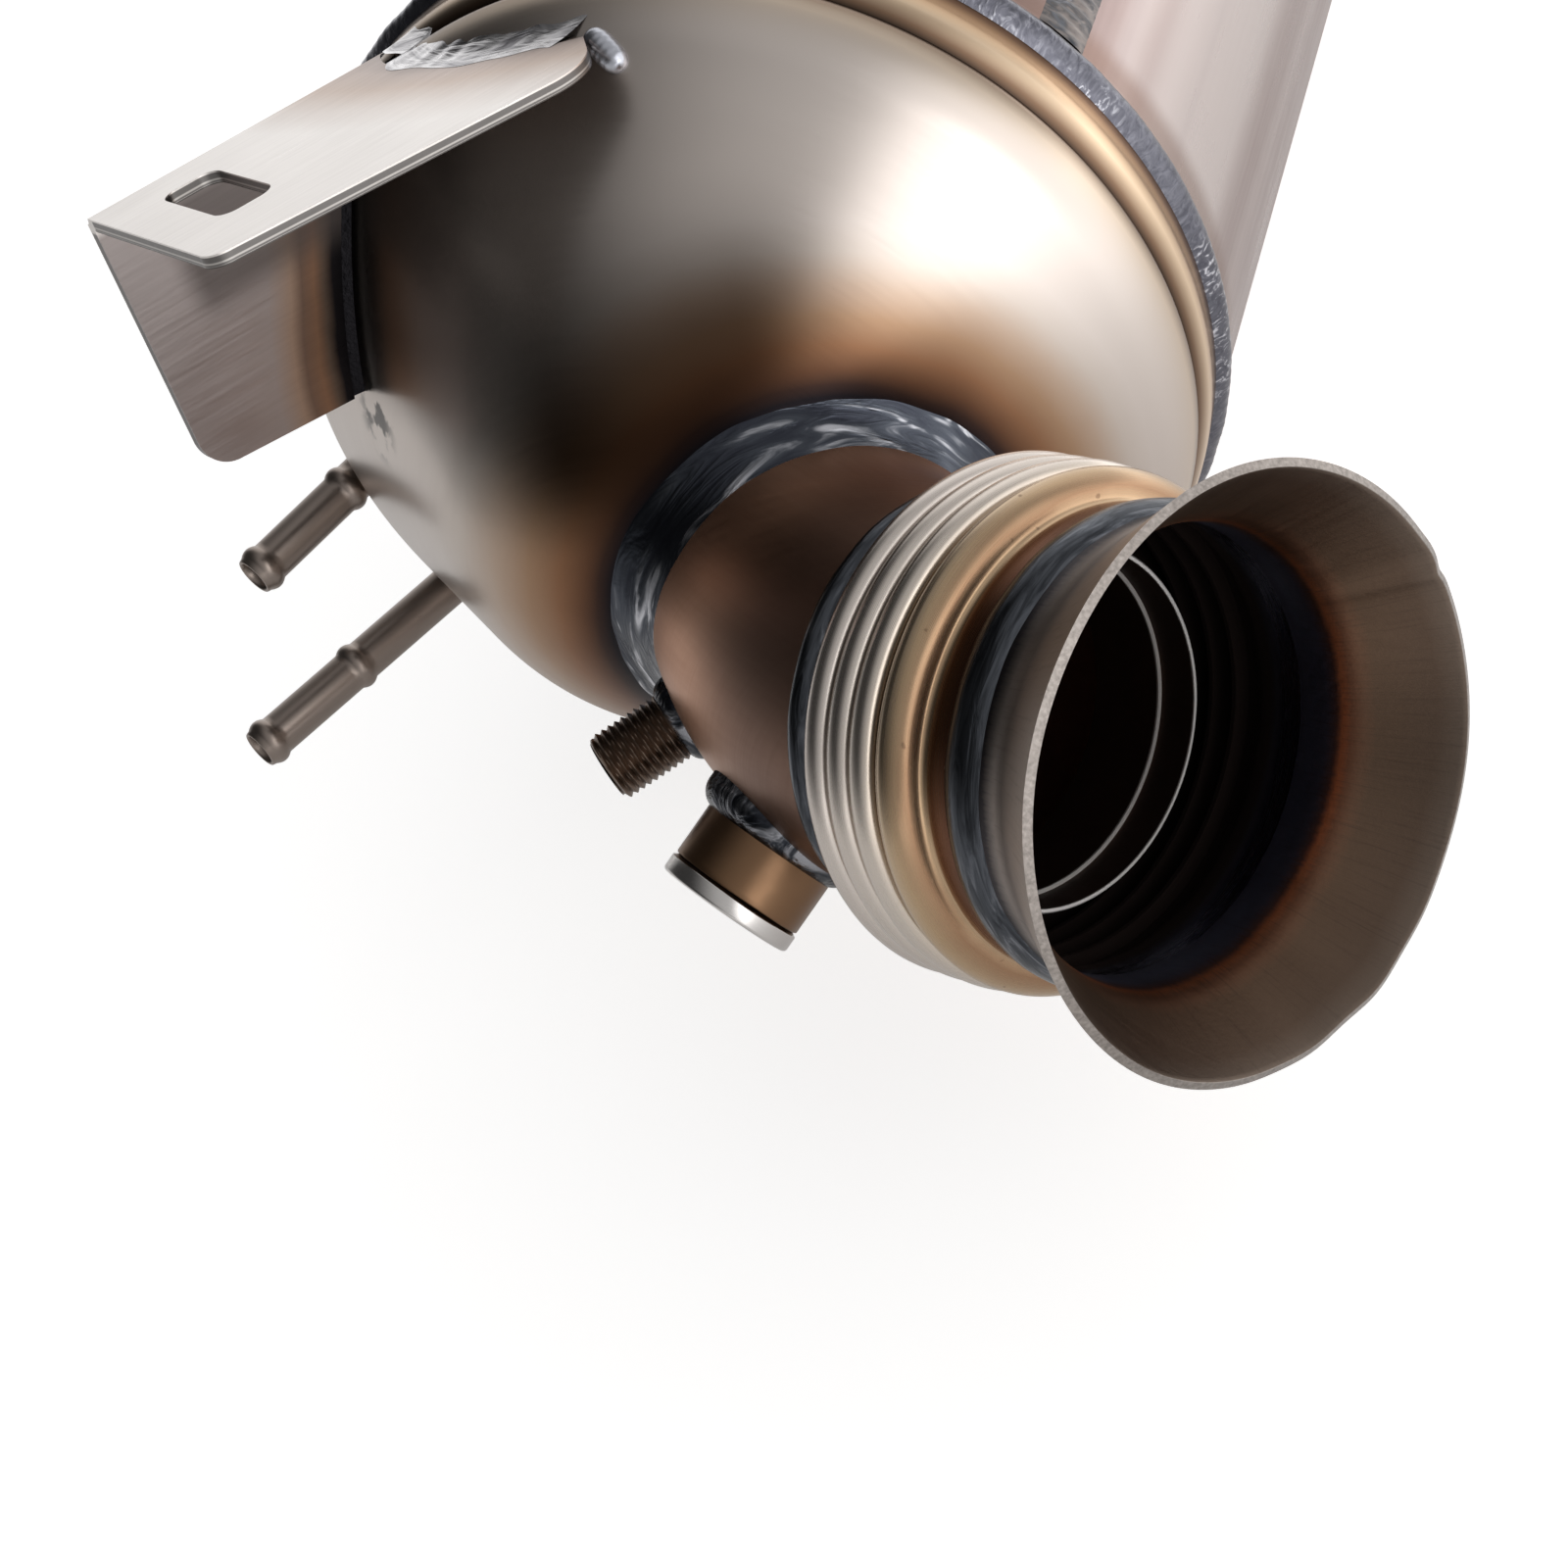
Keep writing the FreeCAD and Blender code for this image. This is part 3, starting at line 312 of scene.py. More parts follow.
@dataclass(frozen=True)
class Finish:
    """Plain metal or ceramic; subclasses add what changes over the surface."""

    name: str
    colour: Colour = STEEL
    rough: float = 0.3
    metal: float = 1.0
    coat: Coat = Coat.SATIN
    grain: tuple[float, float, float] = (60.0, 2200.0, 60.0)
    depth: float = 0.00002

    def colours(self, g: Graph, point: Any) -> Any:
        """Base colour with a slow change of tone.

        Args:
            g: graph of the material.
            point: object coordinates in metres.

        Returns:
            The base colour.
        """
        slow = g.noise(point, 28.0, 3.0)
        dark = tuple(channel * 0.82 for channel in self.colour[:3]) + (1.0,)
        return g.mix(slow, dark, self.colour)

    def streaks(self, g: Graph, point: Any) -> Sock:
        """Fine lines, stretched by the grain's three scales."""
        return g.noise(g.vector("MULTIPLY", point, self.grain), 1.0, 2.0, 0.6)

    def roughness(self, g: Graph, point: Any, lines: Sock) -> Sock:
        """Roughness with the lines and a slow change."""
        return self.rough + (lines - 0.5) * 0.16 + (g.noise(point, 45.0, 2.0) - 0.5) * 0.1

    def height(self, g: Graph, point: Any, lines: Sock) -> Sock:
        """Height of the surface for the bump.

        Args:
            g: graph of the material.
            point: object coordinates in metres.
            lines: the finish's fine lines.

        Returns:
            The height, in units of the finish's depth.
        """
        if self.coat is Coat.WELD:
            return g.noise(point, 420.0, 4.0, 0.6) * 1.5 + g.noise(point, 1500.0, 2.0) * 0.5
        if self.coat is Coat.POLISHED:
            return g.noise(point, 300.0, 2.0) * 0.3
        pits = g.noise(point, 700.0, 1.0).between(0.76, 0.8) * 0.8
        return lines * 0.6 - pits

    def build(self) -> Any:
        """Make the material.

        Returns:
            A material with a Principled shader.
        """
        material = bpy.data.materials.new(self.name)
        material.use_nodes = True
        g = Graph(material.node_tree)
        point = g.place()
        lines = self.streaks(g, point)
        shader = g.node("ShaderNodeBsdfPrincipled", {}, {
            "Base Color": self.colours(g, point), "Metallic": self.metal,
            "Roughness": self.roughness(g, point, lines),
            "Normal": g.bump(self.height(g, point, lines), self.depth)})
        g.node("ShaderNodeOutputMaterial", {}, {0: shader.outputs[0]})
        return material


def heat_stops(steel: Colour) -> Stops:
    """Colours from a weld outwards: blue black, brown, gold and plain steel."""
    return [
        (0.0, tone(32, 29, 32)), (0.07, tone(58, 43, 38)), (0.16, tone(98, 69, 52)),
        (0.3, tone(134, 98, 73)), (0.48, tone(158, 128, 103)), (0.66, tone(178, 157, 140)),
        (0.84, tone(195, 184, 175)), (1.0, steel),
    ]


@dataclass(frozen=True)
class DomeFinish(Finish):
    """Spun steel with a heat halo round the neck, coloured bands by the rim with painted light, and two
    patches of painted dark reflection.
    """

    def colours(self, g: Graph, point: Any) -> Any:
        """Halo by distance from the neck's axis, bands by depth from the rim.

        A patch of painted dark reflection lies above the neck and another one below the bracket.

        Args:
            g: graph of the material.
            point: object coordinates in metres.

        Returns:
            The base colour.
        """
        across, along, up = g.split(point)
        halo = g.from_line(point, NECK_FOOT, NECK_WAY)
        wander = (g.noise(point, 22.0, 3.0) - 0.5) * 5.0
        share = (halo + wander - 35.5) / 25.0
        base = g.ramp(share, heat_stops(self.colour))
        depth = along * -PER_METRE + RIM
        # Rim bands: heat tint by the rim weld, a painted highlight on the rib about 8 to 11 mm in front of
        # the rim, and painted shade in the groove at about 14 to 15 mm.
        bands = g.ramp((depth + wander * 0.12) / 40.0, [
            (0.0, tone(70, 54, 46)), (0.12, tone(104, 78, 60)), (0.19, tone(178, 144, 110)),
            (0.27, tone(214, 190, 162)), (0.345, tone(120, 96, 78)), (0.375, tone(54, 44, 38)),
            (0.42, tone(120, 100, 84)), (0.5, tone(196, 178, 158)), (0.72, self.colour)])
        near = 1 - depth.between(16.0, 30.0)
        base = g.mix(near, base, bands)
        shade = g.noise(g.vector("MULTIPLY", point, (14.0, 60.0, 14.0)), 1.0, 2.0)
        base = g.mix(shade.between(0.35, 0.7) * 0.08, base, tone(170, 160, 154), "MULTIPLY")
        # Painted dark reflection: a darker patch above the neck, kept off the heat halo.
        above = (up * PER_METRE - NECK_FOOT[2]).between(26.0, 42.0)
        beside = (across * PER_METRE - NECK_FOOT[0]).band(-42.0, -24.0, 6.0, 32.0)
        painted_dark_reflection_above_neck = above * beside * (1 - halo.between(48.0, 70.0))
        base = g.mix(painted_dark_reflection_above_neck * 0.84, base, tone(88, 78, 74), "MULTIPLY")
        # Painted dark reflection: a darker patch below the bracket.
        painted_dark_reflection_below_bracket = (up * PER_METRE).between(30.0, 46.0) * (1 - (across * PER_METRE).between(-38.0, 14.0))
        base = g.mix(painted_dark_reflection_below_bracket * 0.8, base, tone(104, 96, 92), "MULTIPLY")
        mark = g.from_line(point, (-47.0, -349.5, 30.5), (0.3, 0.5, -0.8))
        soot = (1 - mark.between(3.0, 9.0)) * g.noise(point, 190.0, 4.0).between(0.5, 0.62)
        return g.mix(soot * 0.85, base, tone(24, 22, 22))

    def roughness(self, g: Graph, point: Any, lines: Sock) -> Sock:
        """Roughness that hardly changes, so the light runs smoothly over the skin."""
        return self.rough + (lines - 0.5) * 0.08


@dataclass(frozen=True)
class CanFinish(Finish):
    """Satin steel with soft bands of painted reflection along the canister."""

    def colours(self, g: Graph, point: Any) -> Any:
        """Painted reflection bands that follow the angle round the canister, from noise on the circle.

        Args:
            g: graph of the material.
            point: object coordinates in metres.

        Returns:
            The base colour.
        """
        across, along, up = g.split(point)
        # Painted reflection: soft and fine bands along the canister stand in for the studio's reflections.
        soft = g.noise(g.join(across * 34.0, along * 0.6, up * 34.0), 1.0, 2.0)
        fine = g.noise(g.join(across * 150.0, along * 1.5, up * 150.0), 1.0, 2.0)
        base = g.mix(soft.between(0.36, 0.62), tone(146, 128, 124), self.colour)
        base = g.mix(fine.between(0.5, 0.75) * 0.35, base, tone(170, 158, 156))
        depth = along * -PER_METRE + RIM
        warm = (depth * -1.0).band(3.0, 5.0, 7.0, 14.0)
        return g.mix(warm * 0.6, base, tone(120, 92, 78))


@dataclass(frozen=True)
class NeckFinish(Finish):
    """Heat browned steel with fine streaks along the neck."""

    def colours(self, g: Graph, point: Any) -> Any:
        """Brown that darkens towards the weld at the bellows, with a paler painted sheen below.

        Args:
            g: graph of the material.
            point: object coordinates in metres.

        Returns:
            The base colour.
        """
        across, _, up = g.split(point)
        way = unit((0.72, -0.69, 0.0))
        side = unit((0.69, 0.72, 0.0))
        drawn = g.join(g.dot(point, way) * 40.0, g.dot(point, side) * 900.0, up * 900.0)
        lines = g.noise(drawn, 1.0, 3.0)
        base = g.mix(lines, tone(194, 146, 118), tone(208, 162, 134))
        last = Sock(g, g.vector("DISTANCE", point, (0.06141, -0.40383, -0.0134)))
        cuff = 1 - (last * PER_METRE).between(33.0, 47.0)
        base = g.mix(cuff * 0.75, base, tone(62, 48, 46))
        # Painted sheen: the lower side is painted paler, as a reflection.
        pale = (up * -PER_METRE).between(-4.0, 24.0) * (across * -PER_METRE).between(-36.0, -8.0)
        return g.mix(pale * 0.9, base, tone(158, 146, 138))


@dataclass(frozen=True)
class BracketFinish(Finish):
    """Brushed sheet with brown and black bands next to the dome, a top painted lighter than the side, and
    painted shade below the top.
    """

    def colours(self, g: Graph, point: Any) -> Any:
        """Bands by distance from the dome's skin, taken from a table of radii by depth.

        Args:
            g: graph of the material.
            point: object coordinates in metres.

        Returns:
            The base colour.
        """
        across, along, up = g.split(point)
        radius = (across * across + up * up) ** 0.5 * PER_METRE
        depth = along * -PER_METRE + RIM
        skin = g.ramp(depth / 80.0, [
            (0.0, (0.82, 0.82, 0.82, 1.0)), (0.21, (0.818, 0.818, 0.818, 1.0)),
            (0.3, (0.803, 0.803, 0.803, 1.0)), (0.363, (0.769, 0.769, 0.769, 1.0)),
            (0.82, (0.394, 0.394, 0.394, 1.0)), (0.9, (0.2, 0.2, 0.2, 1.0)),
            (1.0, (0.0, 0.0, 0.0, 1.0))])
        near = radius - Sock(g, g.node("ShaderNodeSeparateColor", {}, {0: skin}).outputs[0]) * 100.0
        wander = (g.noise(point, 60.0, 3.0) - 0.5) * 4.0
        down = g.dot(point, SHEET_DOWN) * PER_METRE + 25.87
        side = down.between(2.0, 4.0)
        reach = near + wander - side * 2.0
        # Heat tint bands next to the dome; away from it the side is painted darker than the top, as painted
        # shade.
        side_heat_tint_and_painted_shade = g.ramp(reach / 30.0, [
            (0.0, tone(16, 16, 18)), (0.16, tone(30, 28, 30)), (0.24, tone(92, 78, 68)),
            (0.34, tone(128, 98, 78)), (0.46, tone(110, 90, 78)), (0.56, tone(150, 128, 112)),
            (0.75, tone(150, 141, 138)), (1.0, tone(154, 146, 144))])
        # The top, painted lighter than the side of the same sheet, as painted light.
        top = g.ramp(reach / 30.0, [
            (0.0, tone(110, 102, 100)), (0.2, tone(166, 150, 142)), (0.4, tone(180, 162, 150)),
            (0.7, tone(206, 197, 191)), (1.0, tone(220, 215, 211))])
        base = g.mix(side, top, side_heat_tint_and_painted_shade)
        reach_across = g.dot(point, SHEET_ACROSS) * PER_METRE - 155.97
        reach_along = g.dot(point, SHEET_ALONG) * PER_METRE + 345.19
        # Painted shade: the side is darker below the top, from 6 to 20 mm down and past 14 mm along.
        soot = down.band(2.5, 6.0, 20.0, 27.0) * reach_along.between(8.0, 14.0)
        soot = soot * (1 - reach_across.between(2.6, 3.2))
        base = g.mix(soot * 0.75, base, tone(78, 72, 70))
        cut = down.band(0.22, 0.34, 1.85, 2.0) * reach_across.between(2.6, 3.0)
        cut = cut + reach_across.band(0.22, 0.34, 1.85, 2.0) * down.between(2.6, 3.0)
        rim = g.mix(down.band(1.2, 1.35, 1.5, 1.65), tone(82, 79, 78), tone(170, 166, 162))
        base = g.mix(cut * 0.9, base, rim)
        # Painted shade: the underside of the top is painted dark.
        under = down.between(1.93, 1.97) * reach_across.between(2.3, 2.6)
        base = g.mix(under * 0.9, base, tone(44, 40, 38))
        lines = g.noise(g.join(reach_along * 0.06, reach_across * 1.3, down * 1.3), 1.0, 2.0)
        return g.mix(lines.between(0.3, 0.8) * 0.1, base, tone(150, 145, 142), "MULTIPLY")

    def streaks(self, g: Graph, point: Any) -> Sock:
        """Brushed lines along the sheet.

        Args:
            g: graph of the material.
            point: object coordinates in metres.

        Returns:
            The lines, from 0 to 1.
        """
        reach = g.dot(point, SHEET_ALONG) * 60.0
        other = g.dot(point, SHEET_ACROSS) * 1900.0
        down = g.dot(point, SHEET_DOWN) * 1900.0
        return g.noise(g.join(reach, other, down), 1.0, 2.0, 0.6)


@dataclass(frozen=True)
class BellowsFinish(Finish):
    """Satin ridges between browned cuffs; the colour follows the length along the outlet."""

    def colours(self, g: Graph, point: Any) -> Any:
        """Bands by the along value that the mesh keeps.

        Args:
            g: graph of the material.
            point: object coordinates in metres.

        Returns:
            The base colour.
        """
        turn_x, turn_y, along = g.split(g.attribute("wrap"))
        slow = (g.noise(g.join(turn_x * 2.0, turn_y * 2.0, along * 0.05), 1.0, 3.0) - 0.5) * 1.2
        base = g.ramp((along + slow) / 44.0, [
            (0.0, tone(92, 62, 48)), (0.14, tone(140, 104, 82)), (0.19, tone(182, 168, 158)),
            (0.24, tone(202, 193, 186)), (0.5, tone(204, 194, 184)), (0.57, tone(196, 178, 156)),
            (0.62, tone(182, 156, 126)), (0.665, tone(150, 118, 92)), (0.685, tone(196, 168, 136)),
            (0.72, tone(124, 86, 62)), (0.8, tone(92, 60, 46)), (0.87, tone(52, 42, 42)),
            (1.0, tone(24, 22, 26))])
        specks = g.noise(point, 520.0, 1.0).between(0.74, 0.79) * along.between(22.0, 25.0)
        base = g.mix(specks * 0.5, base, tone(90, 66, 52))
        # Inside faces: dark soot with painted shade deep in the bore, and a bluish heat tint towards the
        # flare.
        inside = g.split(g.attribute("face"))[0]
        within = g.mix(along.between(31.0, 35.0), tone(38, 31, 29), tone(84, 85, 104))
        return g.mix(inside, base, within)

    def roughness(self, g: Graph, point: Any, lines: Sock) -> Sock:
        """Satin outside and dull soot inside."""
        deep = 1 - g.split(g.attribute("wrap"))[2].between(30.0, 34.0)
        return self.rough + (lines - 0.5) * 0.16 + g.split(g.attribute("face"))[0] * deep * 0.6

    def streaks(self, g: Graph, point: Any) -> Sock:
        """Lines round the outlet's own axis."""
        turn_x, turn_y, along = g.split(g.attribute("wrap"))
        return g.noise(g.join(turn_x * 3.0, turn_y * 3.0, along * 9.0), 1.0, 2.0)


@dataclass(frozen=True)
class FlareFinish(Finish):
    """Grey outside, brown inside with an orange ring and a blue black throat."""

    def colours(self, g: Graph, point: Any) -> Any:
        """Inner and outer colours are told apart by the mesh's own mark.

        Args:
            g: graph of the material.
            point: object coordinates in metres.

        Returns:
            The base colour.
        """
        turn_x, turn_y, along = g.split(g.attribute("wrap"))
        inside, _, edge = g.split(g.attribute("face"))
        lines = g.noise(g.join(turn_x * 90.0, turn_y * 90.0, along * 0.1), 1.0, 3.0)
        slow = g.noise(g.join(turn_x * 1.5, turn_y * 1.5, along * 0.06), 1.0, 2.0)
        place = along + (slow - 0.5) * 2.0 + (lines - 0.5) * 1.4
        inner = g.ramp((place - 36.0) / 26.0, [
            (0.0, tone(86, 86, 104)), (0.1, tone(94, 95, 115)), (0.17, tone(98, 100, 122)),
            (0.27, tone(98, 96, 114)), (0.34, tone(108, 80, 74)), (0.38, tone(176, 112, 78)),
            (0.43, tone(130, 94, 74)), (0.56, tone(108, 88, 73)), (0.85, tone(101, 84, 72)),
            (1.0, tone(114, 101, 91))])
        outer = g.ramp((place - 36.0) / 26.0, [
            (0.0, tone(40, 38, 42)), (0.24, tone(66, 62, 64)), (0.34, tone(152, 141, 134)),
            (0.6, tone(166, 156, 150)), (1.0, tone(172, 163, 157))])
        base = g.mix(inside, outer, inner)
        base = g.mix(lines.between(0.5, 0.8) * 0.3, base, tone(70, 56, 50))
        rim = g.mix(g.noise(point, 1600.0, 2.0), tone(92, 86, 82), tone(176, 168, 162))
        return g.mix(edge, base, rim)

    def height(self, g: Graph, point: Any, lines: Sock) -> Sock:
        """Speckled skin with brushed lines along the cone.

        Args:
            g: graph of the material.
            point: object coordinates in metres.
            lines: not used.

        Returns:
            The height.
        """
        turn_x, turn_y, along = g.split(g.attribute("wrap"))
        brushed = g.noise(g.join(turn_x * 160.0, turn_y * 160.0, along * 0.3), 1.0, 3.0)
        return brushed * 1.2 + g.noise(point, 1300.0, 3.0) * 1.4


@dataclass(frozen=True)
class WeldFinish(Finish):
    """Dark weld metal with painted highlight streaks that swirl along the bead."""

    painted_glint: Colour = tone(206, 206, 212)
    pale: Colour = tone(57, 61, 67)
    bright: float = 0.5
    stretch: tuple[float, float, float] = (26.0, 26.0, 2.2)
    spread: float = 30.0

    def colours(self, g: Graph, point: Any) -> Any:
        """Dark blue metal, with painted highlight streaks where slow and stretched noise agree.

        Args:
            g: graph of the material.
            point: object coordinates in metres.

        Returns:
            The base colour.
        """
        swirl = self.swirl(g, point)
        slow = g.noise(point, 26.0, 2.0)
        # Painted highlight: near-white glint streaks on the dark weld metal.
        streak = swirl.between(0.52, 0.68) * slow.between(0.42, 0.58) * self.bright
        base = g.mix(swirl.between(0.25, 0.72), self.colour, self.pale)
        return g.mix(streak, base, self.painted_glint)

    def swirl(self, g: Graph, point: Any) -> Sock:
        """Stretched and bent noise that follows the bead.

        Args:
            g: graph of the material.
            point: object coordinates in metres.

        Returns:
            The noise.
        """
        wrap = g.vector("MULTIPLY", g.attribute("wrap"), self.stretch)
        both = g.vector("ADD", wrap, g.vector("MULTIPLY", point, (self.spread,) * 3))
        return g.noise(both, 1.0, 3.0, 0.55, 1.3)

    def roughness(self, g: Graph, point: Any, lines: Sock) -> Sock:
        """Glossy metal with duller patches."""
        return self.rough + (g.noise(point, 60.0, 2.0) - 0.5) * 0.25

    def height(self, g: Graph, point: Any, lines: Sock) -> Sock:
        """Swirled ripples along the bead."""
        return self.swirl(g, point) * 3.0 + g.noise(point, 500.0, 2.0) * 0.2


@dataclass(frozen=True)
class SleeveFinish(Finish):
    """Dark inner sleeve whose cut edge stays bright."""

    edge: float = 21.8
    step: float = 14.6
    lip: Colour = tone(216, 212, 208)

    def colours(self, g: Graph, point: Any) -> Any:
        """Bright by the sleeve's end and by the step in its bore.

        Args:
            g: graph of the material.
            point: not used.

        Returns:
            The base colour.
        """
        turn_x, turn_y, along = g.split(g.attribute("wrap"))
        rim = along.between(self.edge - 0.36, self.edge - 0.12)
        rim = rim + 0.7 * along.band(self.step - 0.4, self.step - 0.2, self.step + 0.1, self.step + 0.2)
        slow = g.noise(g.join(turn_x * 2.0, turn_y * 2.0, along * 0.1), 1.0, 2.0)
        base = g.mix(slow, self.colour, tone(62, 44, 36))
        return g.mix(rim, base, self.lip)


@dataclass(frozen=True)
class HoneycombFinish(Finish):
    """Porous ceramic with a square honeycomb on its faces."""

    cell: float = 1.9

    def height(self, g: Graph, point: Any, lines: Sock) -> Sock:
        """Square cells with thin walls, from the distance to the nearest cell line.

        Args:
            g: graph of the material.
            point: object coordinates in metres.
            lines: not used.

        Returns:
            The height.
        """
        across, _, up = g.split(point)
        cells = PER_METRE / self.cell
        wall = across.maths("PINGPONG", across * cells, 0.5)
        rise = up.maths("PINGPONG", up * cells, 0.5)
        return wall.lowest(rise).between(0.05, 0.14) * -6.0 + g.noise(point, 1800.0, 2.0)


# Surfaces from grids


def smooth_mesh(obj: Any, sharp: float) -> None:
    """Shade smooth, with edges sharper than the angle kept crisp.

    Args:
        obj: the piece.
        sharp: the angle in degrees.
    """
    mesh = obj.data
    mesh.polygons.foreach_set("use_smooth", np.ones(len(mesh.polygons), bool))
    mesh.set_sharp_from_angle(angle=math.radians(sharp))
    mesh.update()


def make_object(name: str, points: np.ndarray, faces: np.ndarray, wrap: np.ndarray | None = None,
                face_mark: np.ndarray | None = None, sharp: float = 38.0) -> Any:
    """Put arrays into a mesh object.

    Args:
        name: name of the piece.
        points: (n, 3) array in millimetres.
        faces: (m, 4) array of point numbers.
        wrap: optional (n, 3) vector kept on the points.
        face_mark: optional second vector.
        sharp: angle above which an edge stays crisp.

    Returns:
        The linked object.
    """
    mesh = bpy.data.meshes.new(name)
    mesh.from_pydata((points * MM).tolist(), [], faces.tolist())
    for label, values in (("wrap", wrap), ("face", face_mark)):
        if values is not None:
            layer = mesh.attributes.new(label, "FLOAT_VECTOR", "POINT")
            layer.data.foreach_set("vector", np.ascontiguousarray(values, np.float32).ravel())
    work = bmesh.new()
    work.from_mesh(mesh)
    bmesh.ops.remove_doubles(work, verts=work.verts, dist=2e-6)
    bmesh.ops.dissolve_degenerate(work, dist=1e-7, edges=work.edges)
    work.to_mesh(mesh)
    work.free()
    mesh.validate()
    obj = bpy.data.objects.new(name, mesh)
    bpy.context.scene.collection.objects.link(obj)
    smooth_mesh(obj, sharp)
    return obj


def grid_faces(rows: int, columns: int, close_rows: bool, close_columns: bool) -> np.ndarray:
    """Quads of a grid whose first step runs along the columns.

    Args:
        rows: number of rows.
        columns: number of points in a row.
        close_rows: whether the last row joins the first.
        close_columns: whether a row's last point joins its first.

    Returns:
        An (m, 4) array of point numbers.
    """
    i = np.arange(rows if close_rows else rows - 1)
    j = np.arange(columns if close_columns else columns - 1)
    a, b = np.meshgrid(i, j, indexing="ij")
    c, d = (a + 1) % rows, (b + 1) % columns
    quads = [a * columns + b, a * columns + d, c * columns + d, c * columns + b]
    return np.stack(quads, -1).reshape(-1, 4)


def arc(centre: Sequence[float], radius: float, first: float, last: float, count: int) -> np.ndarray:
    """Points of an arc: centre plus radius times cosine and sine, angles in degrees."""
    turn = np.radians(np.linspace(first, last, count))
    return np.c_[centre[0] + radius * np.cos(turn), centre[1] + radius * np.sin(turn)]


def bulge(start: Sequence[float], end: Sequence[float], rise: float, count: int) -> np.ndarray:
    """Round bead from start to end that stands rise proud of the line between them.

    The height is the rise times one less the square of (2 share - 1).

    Args:
        start: first point.
        end: last point.
        rise: height in the middle.
        count: number of points.

    Returns:
        The points.
    """
    first, last = np.asarray(start, float), np.asarray(end, float)
    share = np.linspace(0.0, 1.0, count)[:, None]
    way = last - first
    normal = np.array([way[1], -way[0]]) / np.linalg.norm(way)
    return first + way * share + normal * rise * (1.0 - (2.0 * share - 1.0) ** 2)


def quadratic(first: np.ndarray, knee: np.ndarray, last: np.ndarray, share: np.ndarray) -> np.ndarray:
    """First, knee and last in the parts (1 - s) squared, 2 s (1 - s) and s squared of the share s."""
    return (1 - share) ** 2 * first + 2 * share * (1 - share) * knee + share ** 2 * last


def run(*corners: Sequence[float], step: float = 1.0) -> np.ndarray:
    """Straight runs through corners, divided into steps of about the given length.

    Args:
        corners: the points in order.
        step: length of a step.

    Returns:
        The points, with both ends.
    """
    rows = []
    for first, last in zip(corners[:-1], corners[1:]):
        first, last = np.asarray(first, float), np.asarray(last, float)
        count = max(1, int(np.linalg.norm(last - first) / step))
        rows.append(first + (last - first) * np.linspace(0.0, 1.0, count + 1)[:-1, None])
    rows.append(np.asarray(corners[-1], float)[None, :])
    return np.concatenate(rows)


@dataclass(frozen=True)
class Axis:
    """Line that a round piece is turned about."""

    origin: tuple[float, float, float]
    way: tuple[float, float, float]

    def basis(self) -> tuple[np.ndarray, np.ndarray, np.ndarray]:
        """Two vectors across the line, and its own way.

        Returns:
            Three unit vectors.
        """
        way = unit(self.way)
        first = unit(np.cross(way, (0.0, 0.0, 1.0))) if abs(way[2]) < 0.99 else np.array([1.0, 0, 0])
        return first, np.cross(way, first), way

    def point(self, across: np.ndarray, along: np.ndarray, turn: np.ndarray) -> np.ndarray:
        """Origin plus across times the turned direction plus along times the way.

        Args:
            across: distance from the line.
            along: distance along it.
            turn: angle round it.

        Returns:
            The points in millimetres.
        """
        first, second, way = self.basis()
        out = np.cos(turn)[..., None] * first + np.sin(turn)[..., None] * second
        return np.asarray(self.origin) + across[..., None] * out + along[..., None] * way

    def turned(self, name: str, profile: np.ndarray, around: int = 192, closed: bool = True,
               ripple: Ripple | None = None, mark: np.ndarray | None = None, sharp: float = 38.0) -> Any:
        """Carry a profile of (across, along) points round the line.

        Args:
            name: name of the piece.
            profile: (n, 2) array; a closed loop is put into anticlockwise order.
            around: number of steps round the line.
            closed: whether the last point joins the first.
            ripple: changes across and along by the turn.
            mark: (n, 3) values kept with each profile point.
            sharp: angle above which an edge stays crisp.

        Returns:
            The new object.
        """
        if closed:
            nxt = np.roll(profile, -1, 0)
            if (profile[:, 0] * nxt[:, 1] - nxt[:, 0] * profile[:, 1]).sum() < 0:
                profile = profile[::-1]
                mark = None if mark is None else mark[::-1]
        turn = np.linspace(0.0, 2.0 * np.pi, around, endpoint=False)
        across, angle = np.meshgrid(profile[:, 0], turn, indexing="ij")
        along = np.repeat(profile[:, 1:2], around, 1)
        wrap = np.stack([np.cos(angle), np.sin(angle), along], -1).reshape(-1, 3)
        if ripple is not None:
            across, along = ripple(across, along, angle)
        points = self.point(across, along, angle).reshape(-1, 3)
        marks = None if mark is None else np.repeat(mark[:, None, :], around, 1).reshape(-1, 3)
        faces = grid_faces(len(profile), around, closed, True)
        return make_object(name, points, faces, wrap, marks, sharp)


def waves(turn: np.ndarray, seed: int, low: int, high: int, fall: float = 1.0) -> np.ndarray:
    """Sum of sines round the turn with seeded phases, each divided by its count to the fall.

    Args:
        turn: angles.
        seed: seed of the phases.
        low: smallest count round the turn.
        high: largest count.
        fall: how fast the higher counts fade.

    Returns:
        The sum, about one high.
    """
    random = np.random.default_rng(seed)
    total = np.zeros_like(turn)
    for count in range(low, high + 1):
        total += np.sin(count * turn + random.uniform(0, 2 * np.pi)) / (count / low) ** fall
    return total / math.sqrt(high - low + 1)


# Shared forms of the part


